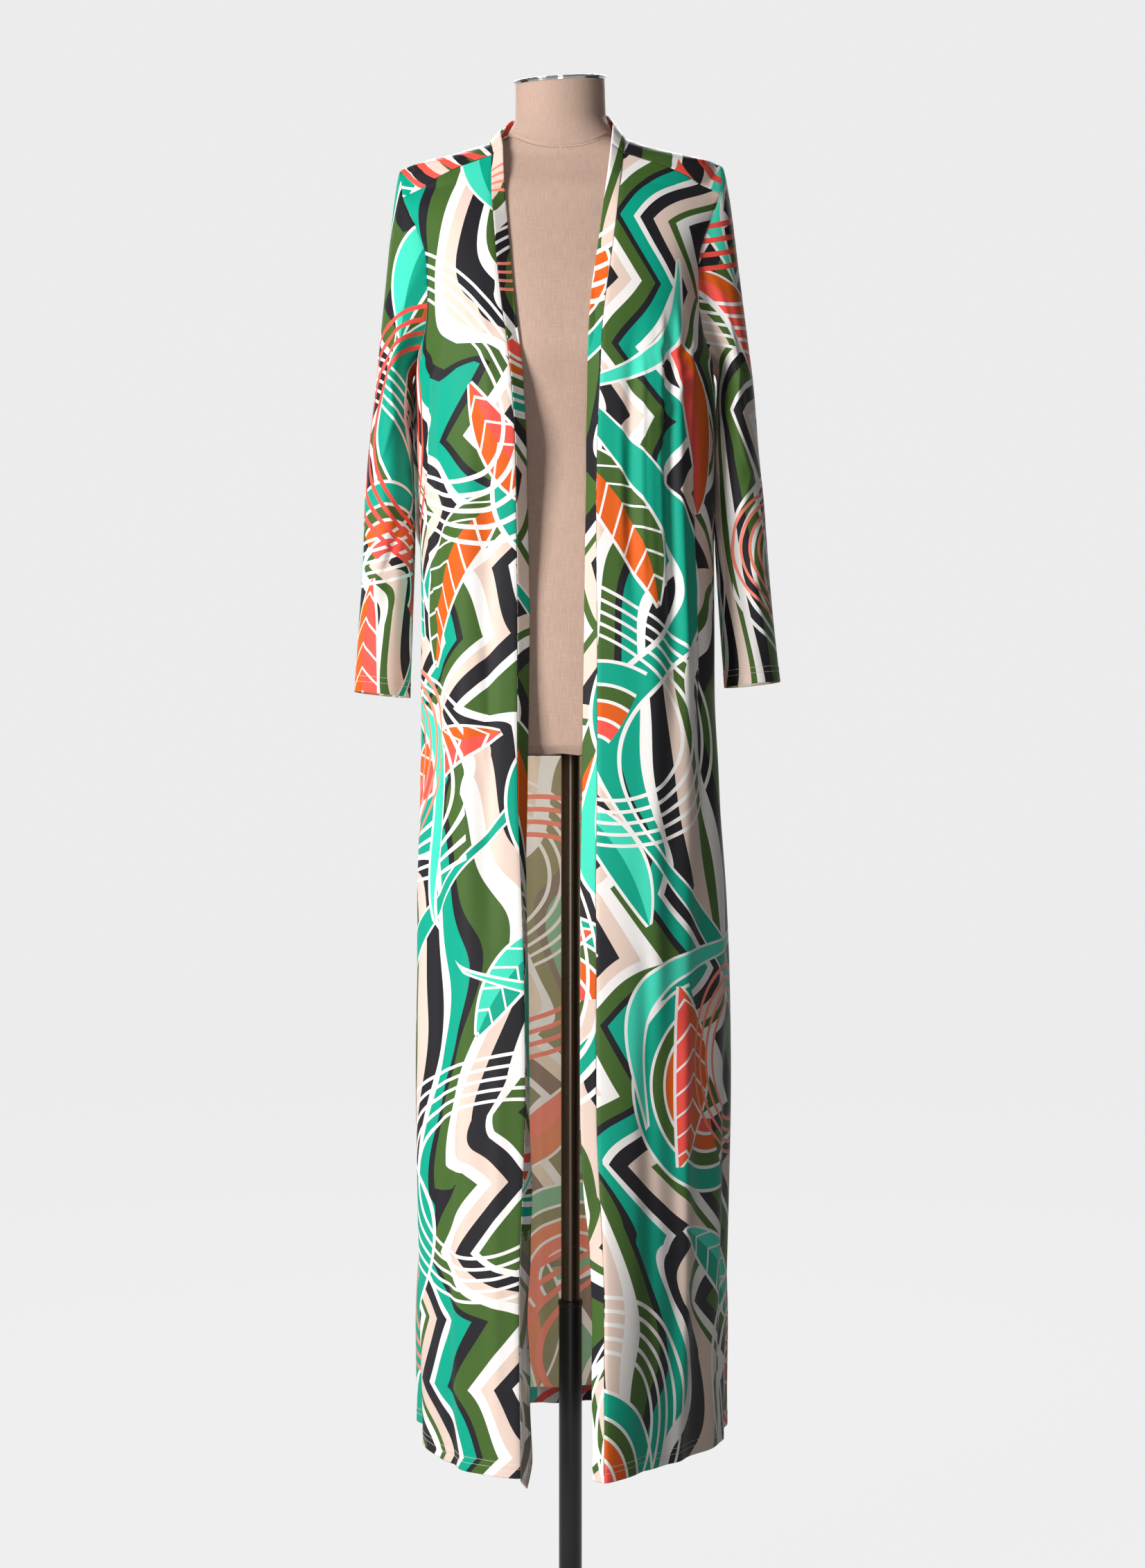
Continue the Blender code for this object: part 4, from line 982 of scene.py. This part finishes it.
def band_centre(side, front_seam):
    """The band's sewn edge, and the way from it to the free edge, along its whole length."""
    sign = SIDE_SIGN[side]
    z = front_seam[:, 2]
    turn = np.radians(smooth(column(FRONT_EDGES, "z"), column(FRONT_EDGES, side + "_turn"), z))
    reach = np.stack([-sign * np.cos(turn), np.sin(turn), 0 * z], axis=1) * BAND_WIDTH
    near_neck = ease((z - 1.700) / (SHOULDER_ROWS[-1].neck[2] - 1.700))[:, None]
    neck_reach = mirrored([station.reach for station in NECK_STATIONS], sign)
    reach = reach * (1 - near_neck) + neck_reach[0] * near_neck
    along = np.linspace(0, 1, 90)[1:]
    neck = neck_shifted(mirrored(spaced(behind_neck(SHOULDER_ROWS[-1]), along), sign))
    neck[-1, 0] = sign * SEAM_GAP
    round_neck = smooth(column(NECK_STATIONS, "along"), neck_reach, along)
    if side == "left":
        round_neck = round_neck + np.sin(math.pi * along)[:, None] * (-0.005, 0, 0.008)
    seam = np.concatenate([front_seam, neck])
    free_edge = seam + np.concatenate([reach, round_neck])
    run = lengths_along(seam)
    at_corner = bell(run - run[len(front_seam) - 1], 2.5 * EDGE_EASE)[:, None]
    free_edge = free_edge + (eased_along(run, EDGE_EASE, free_edge) - free_edge) * at_corner
    reach = free_edge - seam
    if side == "right":
        narrowed = 1 - 0.5 * ease((HEM + 0.030 - seam[:, 2]) / 0.040)
        uneven = 0.05 * np.sin(run / 0.019) * (seam[:, 2] < 0.5)
        reach = reach * (narrowed + uneven)[:, None]
    return seam, reach


def across_grid(points):
    """Unit normals of a grid, to the side that its faces look to."""
    normals = np.cross(np.gradient(points, axis=1), np.gradient(points, axis=0))
    return normals / np.linalg.norm(normals, axis=-1, keepdims=True)


def band_surface(side, seam, reach):
    """The folded band's closed section along its length, with its cut in metres."""
    sign = SIDE_SIGN[side]
    share = np.linspace(0.020, 1, BAND_ACROSS)
    seam = off_form(seam, BAND_THICKNESS / 2)
    run = lengths_along(seam)
    z = seam[:, 2]
    middle = seam[:, None] + reach[:, None] * share[None, :, None]
    facing = across_grid(middle) * -sign
    curl = 0.0018 * np.sin(run / 0.037) + 0.0012 * np.sin(run / 0.0171 + 1.0)
    loose = 0.15 + 0.85 * ease((0.62 - z) / 0.08) if side == "right" else 0.3 * ease((1.0 - z) / 0.3)
    middle = middle + facing * (curl * loose)[:, None, None] * (share**2)[None, :, None]
    drop = BAND_DROP[side] * ease((0.33 - middle[..., 2]) / 0.07)
    middle[..., 2] -= drop * (0.2 + 0.8 * share)[None]
    middle = off_form(middle, BAND_THICKNESS / 2)
    away = (2 * share - 1) ** 2
    plump = BAND_THICKNESS / 2 * np.sqrt(np.clip(1 - away**3, 0, 1)) * (0.75 + 0.25 * share)
    out = across_grid(middle) * -sign * plump[None, :, None]
    section = np.concatenate([middle + out, (middle - out)[:, ::-1], (middle + out)[:, :1]], axis=1)
    around = lengths_along(section[len(section) // 2])
    cut = np.stack([around[None] + 0 * section[..., 0], run[:, None] + 0 * section[..., 0]], axis=-1)
    return section, cut


# %% [markdown]
# ## Laying grids on surfaces

# %% Laying grids on surfaces
def grid_piece(name, points, cut, materials, weld=False, inward=False):
    """A grid laid on points[row, column], with the cut's metres as its UV map."""
    rows, columns = points.shape[:2]
    bpy.ops.object.select_all(action="DESELECT")
    bpy.ops.mesh.primitive_grid_add(x_subdivisions=columns - 1, y_subdivisions=rows - 1, size=1)
    piece = bpy.context.object
    piece.name = piece.data.name = name
    mesh = piece.data
    mesh.vertices.foreach_set("co", points.reshape(-1))
    corners = np.empty(len(mesh.loops), int)
    mesh.loops.foreach_get("vertex_index", corners)
    layer = mesh.uv_layers[0]
    layer.name = "cut"
    layer.data.foreach_set("uv", cut.reshape(-1, 2)[corners].reshape(-1))
    if inward:
        mesh.flip_normals()
    mesh.shade_smooth()
    for finish in materials:
        mesh.materials.append(finish)
    if weld:
        join = piece.modifiers.new("weld", "WELD")
        join.merge_threshold = 0.00002
        bpy.ops.object.modifier_apply(modifier="weld")
    mesh.update()
    return piece


def select_only(piece):
    bpy.ops.object.select_all(action="DESELECT")
    piece.select_set(True)
    bpy.context.view_layer.objects.active = piece


def give_wall(piece, thickness, wrong_side=1):
    """Turns a laid grid into a closed wall of cloth with its own wrong side."""
    select_only(piece)
    wall = piece.modifiers.new("wall", "SOLIDIFY")
    wall.thickness = thickness
    wall.offset = 0.0
    wall.material_offset = wrong_side
    bpy.ops.object.modifier_apply(modifier="wall")


def facing_out(points, middle=(0, 0)):
    """True if a grid laid on points faces away from a vertical line."""
    a, b = points[1:, :-1] - points[:-1, :-1], points[:-1, 1:] - points[:-1, :-1]
    normals = np.cross(b, a)
    away = points[:-1, :-1, :2] - np.asarray(middle)
    return float((normals[..., :2] * away).sum()) > 0


def close_ends(piece):
    """Fills the openings at the ends of a tube."""
    bm = bmesh.new()
    bm.from_mesh(piece.data)
    bmesh.ops.holes_fill(bm, edges=[edge for edge in bm.edges if edge.is_boundary], sides=0)
    bmesh.ops.recalc_face_normals(bm, faces=bm.faces)
    bm.to_mesh(piece.data)
    bm.free()


def finish_piece(piece, nodes):
    """Hangs a piece under the root body, and hides the CAD nodes that it replaces."""
    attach(piece, "root")
    if nodes:
        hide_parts(*nodes)
    return piece


def line_on(points, normals, place, target):
    """The line across a grid where place, which grows along each column, reaches target."""
    target = np.broadcast_to(target, points.shape[1:2])
    found = []
    for grid in (points, normals):
        line = [sampled(grid[:, i], place[:, i], [t])[0] for i, t in enumerate(target)]
        found.append(np.array(line))
    return found


def thread(name, lines, finish, radius):
    """Round threads along lists of points, as one piece."""
    curve = bpy.data.curves.new(name, "CURVE")
    curve.dimensions, curve.bevel_depth, curve.bevel_resolution = "3D", radius, 1
    curve.use_fill_caps = True
    for line in lines:
        spline = curve.splines.new("POLY")
        spline.points.add(len(line) - 1)
        spline.points.foreach_set("co", np.column_stack([line, np.ones(len(line))]).reshape(-1))
    made = bpy.data.objects.new(name, curve)
    bpy.context.scene.collection.objects.link(made)
    made.data.materials.append(finish)
    select_only(made)
    bpy.ops.object.convert(target="MESH")
    made.data.shade_smooth()
    return finish_piece(made, [])


def running_stitches(line, normals, length, gap, lift):
    """Short stitches one after another along a line, each with its ends in the cloth."""
    run = lengths_along(line)
    stitches = []
    for start in np.arange(gap, run[-1] - length, length + gap):
        at = start + length * np.array([0, 0.2, 0.8, 1])
        lifts = (lift * np.array([-0.6, 0.8, 0.8, -0.6]))[:, None]
        stitches.append(sampled(line, run, at) + sampled(normals, run, at) * lifts)
    return stitches


def zigzag_thread(low, high, normals, pitch, lift):
    """An overlock's thread, which runs to and fro between two lines."""
    run = lengths_along(low)
    at = np.arange(0, run[-1], pitch / 2)
    a, b, out = (sampled(line, run, at) for line in (low, high, normals))
    to_high = (np.arange(len(at)) % 2)[:, None]
    return a * (1 - to_high) + b * to_high + out * lift


# %% The coat's panels
PRINT_START = {
    "front_right": (0.31, 0.07), "front_left": (1.12, 0.42), "back": (2.23, 0.18),
    "sleeve_right": (3.05, 0.66), "sleeve_left": (3.84, 0.31),
    "band_right": (4.40, 0.20), "band_left": (4.93, 0.55),
}
jerseys = {piece: jersey("printed jersey " + piece, *start) for piece, start in PRINT_START.items()}
wrong_sides = {piece: jersey("wrong side " + piece, *start, True) for piece, start in PRINT_START.items()}

surfaces = {}
for side in ("right", "left"):
    surfaces["front_" + side] = panel_surface("front_" + side, *front_sections(side))
surfaces["back"] = panel_surface("back", *back_sections(), from_middle=True)
for side in ("right", "left"):
    loop = armhole(side, surfaces["front_" + side][0], surfaces["back"][0])
    surfaces["sleeve_" + side] = sleeve_surface(side, loop)

cloth = {}
for name, (points, cut) in surfaces.items():
    tube = name.startswith("sleeve")
    placed = leaned(points)
    middle = placed[-1, :, :2].mean(axis=0) if tube else (0, 0)
    inward = not facing_out(placed, middle)
    piece = grid_piece(name + "_cloth", placed, cut, (jerseys[name], wrong_sides[name]), tube, inward)
    give_wall(piece, WALL)
    cloth[name] = finish_piece(piece, [name])
    print(piece.name, len(piece.data.polygons), "faces")

# %% The neckband
# Below this height the right band is turned over and shows its wrong side.
BAND_TURNS_OVER = 0.530
bands_laid = {}
for side in ("right", "left"):
    front_seam = surfaces["front_" + side][0][:, 0]
    seam, reach = band_centre(side, front_seam)
    points, cut = band_surface(side, seam, reach)
    placed = leaned(points)
    bands_laid[side] = placed
    name = "band_" + side
    piece = grid_piece(name + "_cloth", placed, cut, (jerseys[name], wrong_sides[name]), weld=True)
    close_ends(piece)
    if side == "right":
        for face in piece.data.polygons:
            wavy = 0.006 * math.sin(face.center.x * 900)
            face.material_index = int(face.center.z < BAND_TURNS_OVER + wavy)
    cloth[name] = finish_piece(piece, [name])
    print(piece.name, len(piece.data.polygons), "faces")

# %% [markdown]
# ## Hems and stitching
#
# A twin needle sewed the hem and the cuffs with pale thread: two rows 6.5 mm apart. The hem is
# turned up 20 mm inside, with an overlocked edge.

# %% Thread
# A needle stitch's length, the gap after it and its lift off the cloth
NEEDLE_STITCH = (0.0023, 0.0009, 0.00022)
NEEDLE_THREAD = 0.00026


def thread_material(name, colour):
    """Spun polyester thread, fibrous and slightly uneven in colour."""
    made, tree, shader = new_material(name, {
        "Roughness": 0.55, "Specular IOR Level": 0.35, "Sheen Weight": 0.2})
    fibres = noise(tree, 2500.0, 2.0, node(tree, "TexCoord").outputs["Object"])
    shade = node(tree, "HueSaturation", {"Color": linear(colour)}, {"Value": fibres * 0.35 + 0.80})
    tree.links.new(shade.outputs[0], shader.inputs["Base Color"])
    add_bump(tree, shader, 0.5, 0.0001, fibres)
    return made


pale_thread = thread_material("pale beige thread", "#D9CBB8")
dark_thread = thread_material("dark overlock thread", "#3A3733")
linen_thread = thread_material("linen thread", "#8C7262")


def needle_rows(points, normals, run, stitch_rows):
    """Running stitches on the outside of a grid's cloth, in rows at these lengths from its edge."""
    stitches = []
    for stitch_row in stitch_rows:
        line, out = line_on(points, normals, run, stitch_row)
        stitches += running_stitches(line + out * WALL / 2, out, *NEEDLE_STITCH)
    return stitches


# %% Hems
TURN_UP = 0.020
hem_lines, overlock_lines, turn_ups = [], [], {}
for name in ("front_right", "back", "front_left"):
    points = leaned(surfaces[name][0])
    cut = surfaces[name][1]
    normals = across_grid(points) * (1 if facing_out(points) else -1)
    run = lengths_along(points)
    hem_lines += needle_rows(points, normals, run, HEM_STITCH_ROWS)
    inside = (run[:, 0] >= 0.0009) & (run[:, 0] <= TURN_UP + 0.0005)
    strip = points[inside] - normals[inside] * (WALL / 2 + 0.0007)
    turned_cut = cut[inside] * (1, -1) + (0, 2 * HEM)
    piece = grid_piece(name + "_turn_up", strip, turned_cut, (jerseys[name],), inward=facing_out(strip))
    give_wall(piece, 0.0006, 0)
    turn_ups[name] = finish_piece(piece, [])
    low, out = line_on(points, normals, run, TURN_UP - 0.003)
    high, _ = line_on(points, normals, run, TURN_UP + 0.0012)
    away = out * (WALL / 2 + 0.0013)
    overlock_lines.append(zigzag_thread(low - away, high - away, -out, 0.0022, 0.0001))
hem_thread = thread("hem_stitches", hem_lines, pale_thread, NEEDLE_THREAD)
overlock = thread("hem_overlock", overlock_lines, pale_thread, 0.00022)
print(hem_thread.name, len(hem_lines), "stitches")

# %% Cuffs
cuff_threads = {}
for side in ("right", "left"):
    points = leaned(surfaces["sleeve_" + side][0])
    middle = points[-1, :, :2].mean(axis=0)
    normals = across_grid(points) * (1 if facing_out(points, middle) else -1)
    lines = needle_rows(points[::-1], normals[::-1], lengths_along(points[::-1]), CUFF_STITCH_ROWS)
    name = "cuff_stitches_" + side
    cuff_threads[side] = thread(name, lines, pale_thread, NEEDLE_THREAD)

# %% The overlocked edge of the right band
laid = bands_laid["right"][:, :BAND_ACROSS]
low_rows = laid[:, 0, 2] < BAND_TURNS_OVER
edge = laid[low_rows]
out = across_grid(laid)[low_rows]
out *= np.sign(-out[..., 1].mean())
lines = [zigzag_thread(edge[:, -5], edge[:, -2], out[:, -3], 0.0020, 0.0002)]
lines += running_stitches(edge[:, -7] + out[:, -7] * 0.0001, out[:, -7], 0.0022, 0.0008, 0.0002)
band_overlock = thread("band_overlock", lines, dark_thread, 0.00024)

# %% [markdown]
# ## The form and its stand

# %% Linen, chrome and steel
linen, tree, shader = new_material("linen cover", {
    "Roughness": 0.85, "Specular IOR Level": 0.22, "Sheen Weight": 0.15})
uv = node(tree, "UVMap", {"uv_map": "cut"}).outputs[0]
weave, slubs = [], []
# Warp and weft: their direction, threads to a metre, waviness, and the stretch of their slubs
for direction, count, waviness, stretch in (
        ("X", 1300, 5.0, (900, 55, 1)), ("Y", 1150, 6.0, (70, 800, 1))):
    wave = node(tree, "TexWave", {
        "bands_direction": direction, "Scale": count / (2 * math.pi), "Distortion": waviness,
        "Detail": 3.0}, {"Vector": uv})
    weave.append(Field(tree, wave.outputs["Fac"]))
    place = node(tree, "Mapping", {"Scale": stretch}, {"Vector": uv})
    slubs.append(noise(tree, 1.0, 3.0, place.outputs[0]))
threads = weave[0] * 0.5 + weave[1] * 0.5
tone = threads * 0.14 + slubs[0] * 0.55 + slubs[1] * 0.35 + noise(tree, 7.0, 3.0, uv) * 0.25 - 0.10
tree.links.new(painted(tree, "#96786A", "#D6B8A6", tone), shader.inputs["Base Color"])
add_bump(tree, shader, 0.22, 0.0004, threads * 0.5 + slubs[0] + slubs[1] * 0.6)


def worn_metal(name, settings, scratch, spread):
    """Metal or enamel with faint scratches and smudges that change its gloss."""
    made, tree, shader = new_material(name, settings)
    place = node(tree, "TexCoord").outputs["Object"]
    stretched = node(tree, "Mapping", {"Scale": (900, 900, 60)}, {"Vector": place})
    gloss = noise(tree, 14.0, 3.0, place) * spread + (settings["Roughness"] - spread / 2)
    tree.links.new(gloss.socket, shader.inputs["Roughness"])
    add_bump(tree, shader, scratch, 0.0001, noise(tree, 1.0, 4.0, stretched.outputs[0]))
    return made


chrome = worn_metal("polished chrome", {
    "Base Color": "#A4A5A7", "Metallic": 1.0, "Roughness": 0.10}, 0.05, 0.08)
dark_chrome = worn_metal("black chrome", {
    "Base Color": "#584C44", "Metallic": 1.0, "Roughness": 0.28}, 0.10, 0.10)
black_enamel = worn_metal("black enamelled steel", {
    "Base Color": "#0C0C0D", "Roughness": 0.36, "Specular IOR Level": 0.35}, 0.15, 0.12)

# %% The form
FORM_AROUND, FORM_ROWS = 160, 260
UNDERSIDE_HOLE = 0.080
NECK_SEAM_FRONT, NECK_HALF = 1.800, 0.055


def neck_seam_height(x, y):
    """Where the neck's cover is sewn on: low in front, rising round the sides to the back."""
    sides = np.minimum(np.abs(x) / NECK_HALF, 1) ** 2.6
    return NECK_SEAM_FRONT + 0.017 * sides + 0.028 * ease((y + 0.010) / 0.060)


def form_surface():
    """The torso from its underside to the top of its neck, its cut, and the slice of its outer rows."""
    turn = np.linspace(0, 2 * math.pi, FORM_AROUND + 1)
    at_foot = FORM_FOOT + np.linspace(0.0005, 0.012, 8)
    at_seam = np.arange(NECK_SEAM_FRONT - 0.004, NECK_SEAM_FRONT + 0.050, 0.0007)
    rows = np.linspace(FORM_FOOT, NECK_TOP, FORM_ROWS)
    rows = np.unique(np.concatenate([rows, at_foot, at_seam]).round(5))
    half_x, front_y, back_y, square = smooth(FORM_Z, FORM_SHAPE, rows).T[..., None]
    across, ahead = np.sin(turn)[None], -np.cos(turn)[None]
    depth = np.where(ahead < 0, -front_y, back_y)
    x = half_x * np.sign(across) * np.abs(across) ** (2 / square)
    y = depth * np.sign(ahead) * np.abs(ahead) ** (2 / square)
    z = rows[:, None] + 0 * x
    above_seam = z - neck_seam_height(x, y)
    groove = bell(above_seam, 0.0009) * 0.0014
    groove = groove - bell(above_seam - 0.0028, 0.0020) * (0.0005 + 0.0002 * np.sin(turn * 61))
    x, y = x * (1 - groove / NECK_HALF), y * (1 - groove / NECK_HALF)
    tilt = ease((z - NECK_TILT_START) / (NECK_TOP - NECK_TILT_START))
    foot = ease((FORM_FOOT + 0.014 - z) / 0.014)
    scallop = (0.0011 * np.sin(turn * 34) + 0.0009 * np.sin(turn * 5 + 1)) * foot
    z = z + tilt * (NECK_TILT_FORWARD * (y - 0.008) + NECK_TILT_SIDE * x) - scallop
    hips = np.searchsorted(rows, 1.20)
    girth = lengths_along(np.stack([x[hips], y[hips], z[hips]], axis=1))
    cut = np.stack([girth[None] + 0 * x, rows[:, None] + 0 * x], axis=-1)
    points = np.stack([x, y, z], axis=-1)
    under = np.linspace(UNDERSIDE_HOLE, 0.985, 12)[:, None, None]
    underside = points[:1] * under
    underside[..., 2] = FORM_FOOT + 0.0015 * (1 - under[..., 0] ** 8)
    lid = np.linspace(0.97, 0.02, 6)[:, None, None]
    middle = points[-1:, :-1].mean(axis=1, keepdims=True)
    top = middle + (points[-1:] - middle) * lid
    under_cut = cut[:1] * (1, 0) + (0, 0.9) + under * (0, 0.1)
    top_cut = cut[-1:] + (0, 0.04) - lid * (0, 0.04)
    cut = np.concatenate([under_cut, cut, top_cut])
    return np.concatenate([underside, points, top]), cut, slice(len(under), -len(lid))


form_points, form_cut, torso = form_surface()
placed = leaned(form_points)
outward = facing_out(placed[torso.start:])
form = grid_piece("form_linen", placed, form_cut, (linen,), weld=True, inward=not outward)
finish_piece(form, ["form"])
print(form.name, len(form.data.polygons), "faces")

# Small stitches run just under the seam between the torso's cover and the neck's.
normals = across_grid(placed) * (1 if outward else -1)
x, y, z = np.moveaxis(form_points[torso], -1, 0)
above_seam = z - neck_seam_height(x, y)
line, out = line_on(placed[torso], normals[torso], above_seam, -0.0022)
neck_stitches = running_stitches(line, out, 0.0024, 0.0014, 0.0003)
thread("neck_seam_stitches", neck_stitches, linen_thread, 0.00034)

# %% The stand
GRIP_TOP, POLE_GAP, PLATE_THICKNESS = 0.425, 0.0003, 0.006
UPPER_POLE, LOWER_POLE, COLLAR = 0.0112, 0.0138, 0.0148
PLATE_RADIUS, CAP_RADIUS, CAP_LIP = 0.175, 0.0548, 0.0562
UPPER_POLE_FOOT, UPPER_POLE_TOP = 0.210, 1.1997
TURNED_FACETS = 128


def turned(name, outline, finish, node_name):
    """A turned piece: its outline, as radius and height down the outer side, with a Screw."""
    bm = bmesh.new()
    verts = [bm.verts.new((radius, 0, z)) for radius, z in outline]
    for before, after in zip(verts, verts[1:]):
        bm.edges.new((before, after))
    mesh = bpy.data.meshes.new(name)
    bm.to_mesh(mesh)
    bm.free()
    made = bpy.data.objects.new(name, mesh)
    bpy.context.scene.collection.objects.link(made)
    made.data.materials.append(finish)
    spin = made.modifiers.new("turn", "SCREW")
    spin.steps = spin.render_steps = TURNED_FACETS
    spin.use_merge_vertices = True
    spin.merge_threshold = 0.00001
    select_only(made)
    bpy.ops.object.modifier_apply(modifier="turn")
    made.data.shade_smooth()
    made.data.set_sharp_from_angle(angle=math.radians(38))
    return finish_piece(made, [node_name])


def rounded(radius, z, size, steps=5):
    """The rounded corner of an outline, from its top to its side."""
    turns = [math.pi / 2 * k / steps for k in range(steps + 1)]
    return [(radius - size + size * math.sin(t), z - size + size * math.cos(t)) for t in turns]


def rounded_under(radius, z, size, steps=5):
    """The rounded corner of an outline, from its side to its underside."""
    return [(r, 2 * z - h) for r, h in reversed(rounded(radius, z, size, steps))]


turned("foot_plate_turned", [
    (0, PLATE_THICKNESS), (0.060, PLATE_THICKNESS), *rounded(PLATE_RADIUS, PLATE_THICKNESS, 0.002),
    *rounded_under(PLATE_RADIUS, 0, 0.001), (0.150, 0), (0, 0),
], black_enamel, "foot_plate")
bore, foot = UPPER_POLE + POLE_GAP, PLATE_THICKNESS + POLE_GAP
turned("pole_lower_turned", [
    (bore, GRIP_TOP - 0.002), (bore + 0.0003, GRIP_TOP - 0.0004), *rounded(COLLAR, GRIP_TOP, 0.0012),
    *rounded_under(COLLAR, GRIP_TOP - 0.006, 0.0008), (LOWER_POLE, GRIP_TOP - 0.0062),
    (LOWER_POLE, 0.300), (LOWER_POLE, 0.150), (LOWER_POLE, foot), (bore, foot), (bore, GRIP_TOP - 0.002),
], black_enamel, "pole_lower")
turned("pole_upper_turned", [
    (0, UPPER_POLE_TOP), *rounded(UPPER_POLE, UPPER_POLE_TOP, 0.001), (UPPER_POLE, 0.9), (UPPER_POLE, 0.6),
    (UPPER_POLE, UPPER_POLE_FOOT), (0, UPPER_POLE_FOOT),
], dark_chrome, "pole_upper")
cap = turned("neck_cap_turned", [
    (0, 0.0040), (0.046, 0.0040), (0.0485, 0.0036), (0.0500, 0.0034), *rounded(CAP_LIP, 0.0039, 0.0006),
    *rounded_under(CAP_LIP, 0.0022, 0.0005), (CAP_RADIUS - 0.0005, 0.0018), (CAP_RADIUS - 0.0007, 0), (0, 0),
], chrome, "neck_cap")
cap.location = (lean(NECK_TOP), 0.008, NECK_TOP + POLE_GAP)
cap.rotation_euler = (math.atan(NECK_TILT_FORWARD), -math.atan(NECK_TILT_SIDE + SHOULDER_TILT), 0)
select_only(cap)
bpy.ops.object.transform_apply()

# %% [markdown]
# ## Cut of the cloth pieces
#
# The width and length of each piece before it was hung, and the flat area where it isn't a
# rectangle.

# %% Cut of the cloth pieces
def grid_area(points):
    """The area of a grid's faces."""
    a, b = points[1:, 1:] - points[:-1, :-1], points[1:, :-1] - points[:-1, 1:]
    return float(np.linalg.norm(np.cross(a, b), axis=-1).sum() / 2)


back_threads = [overlock, hem_thread]
for name, (points, cut) in surfaces.items():
    area = grid_area(points)
    if name.startswith("sleeve"):
        extra = [cuff_threads[name.split("_")[1]]]
    else:
        extra = [turn_ups[name]] + (back_threads if name == "back" else [])
for side, placed in bands_laid.items():
    extra = [band_overlock] if side == "right" else []
    cloth["band_" + side]
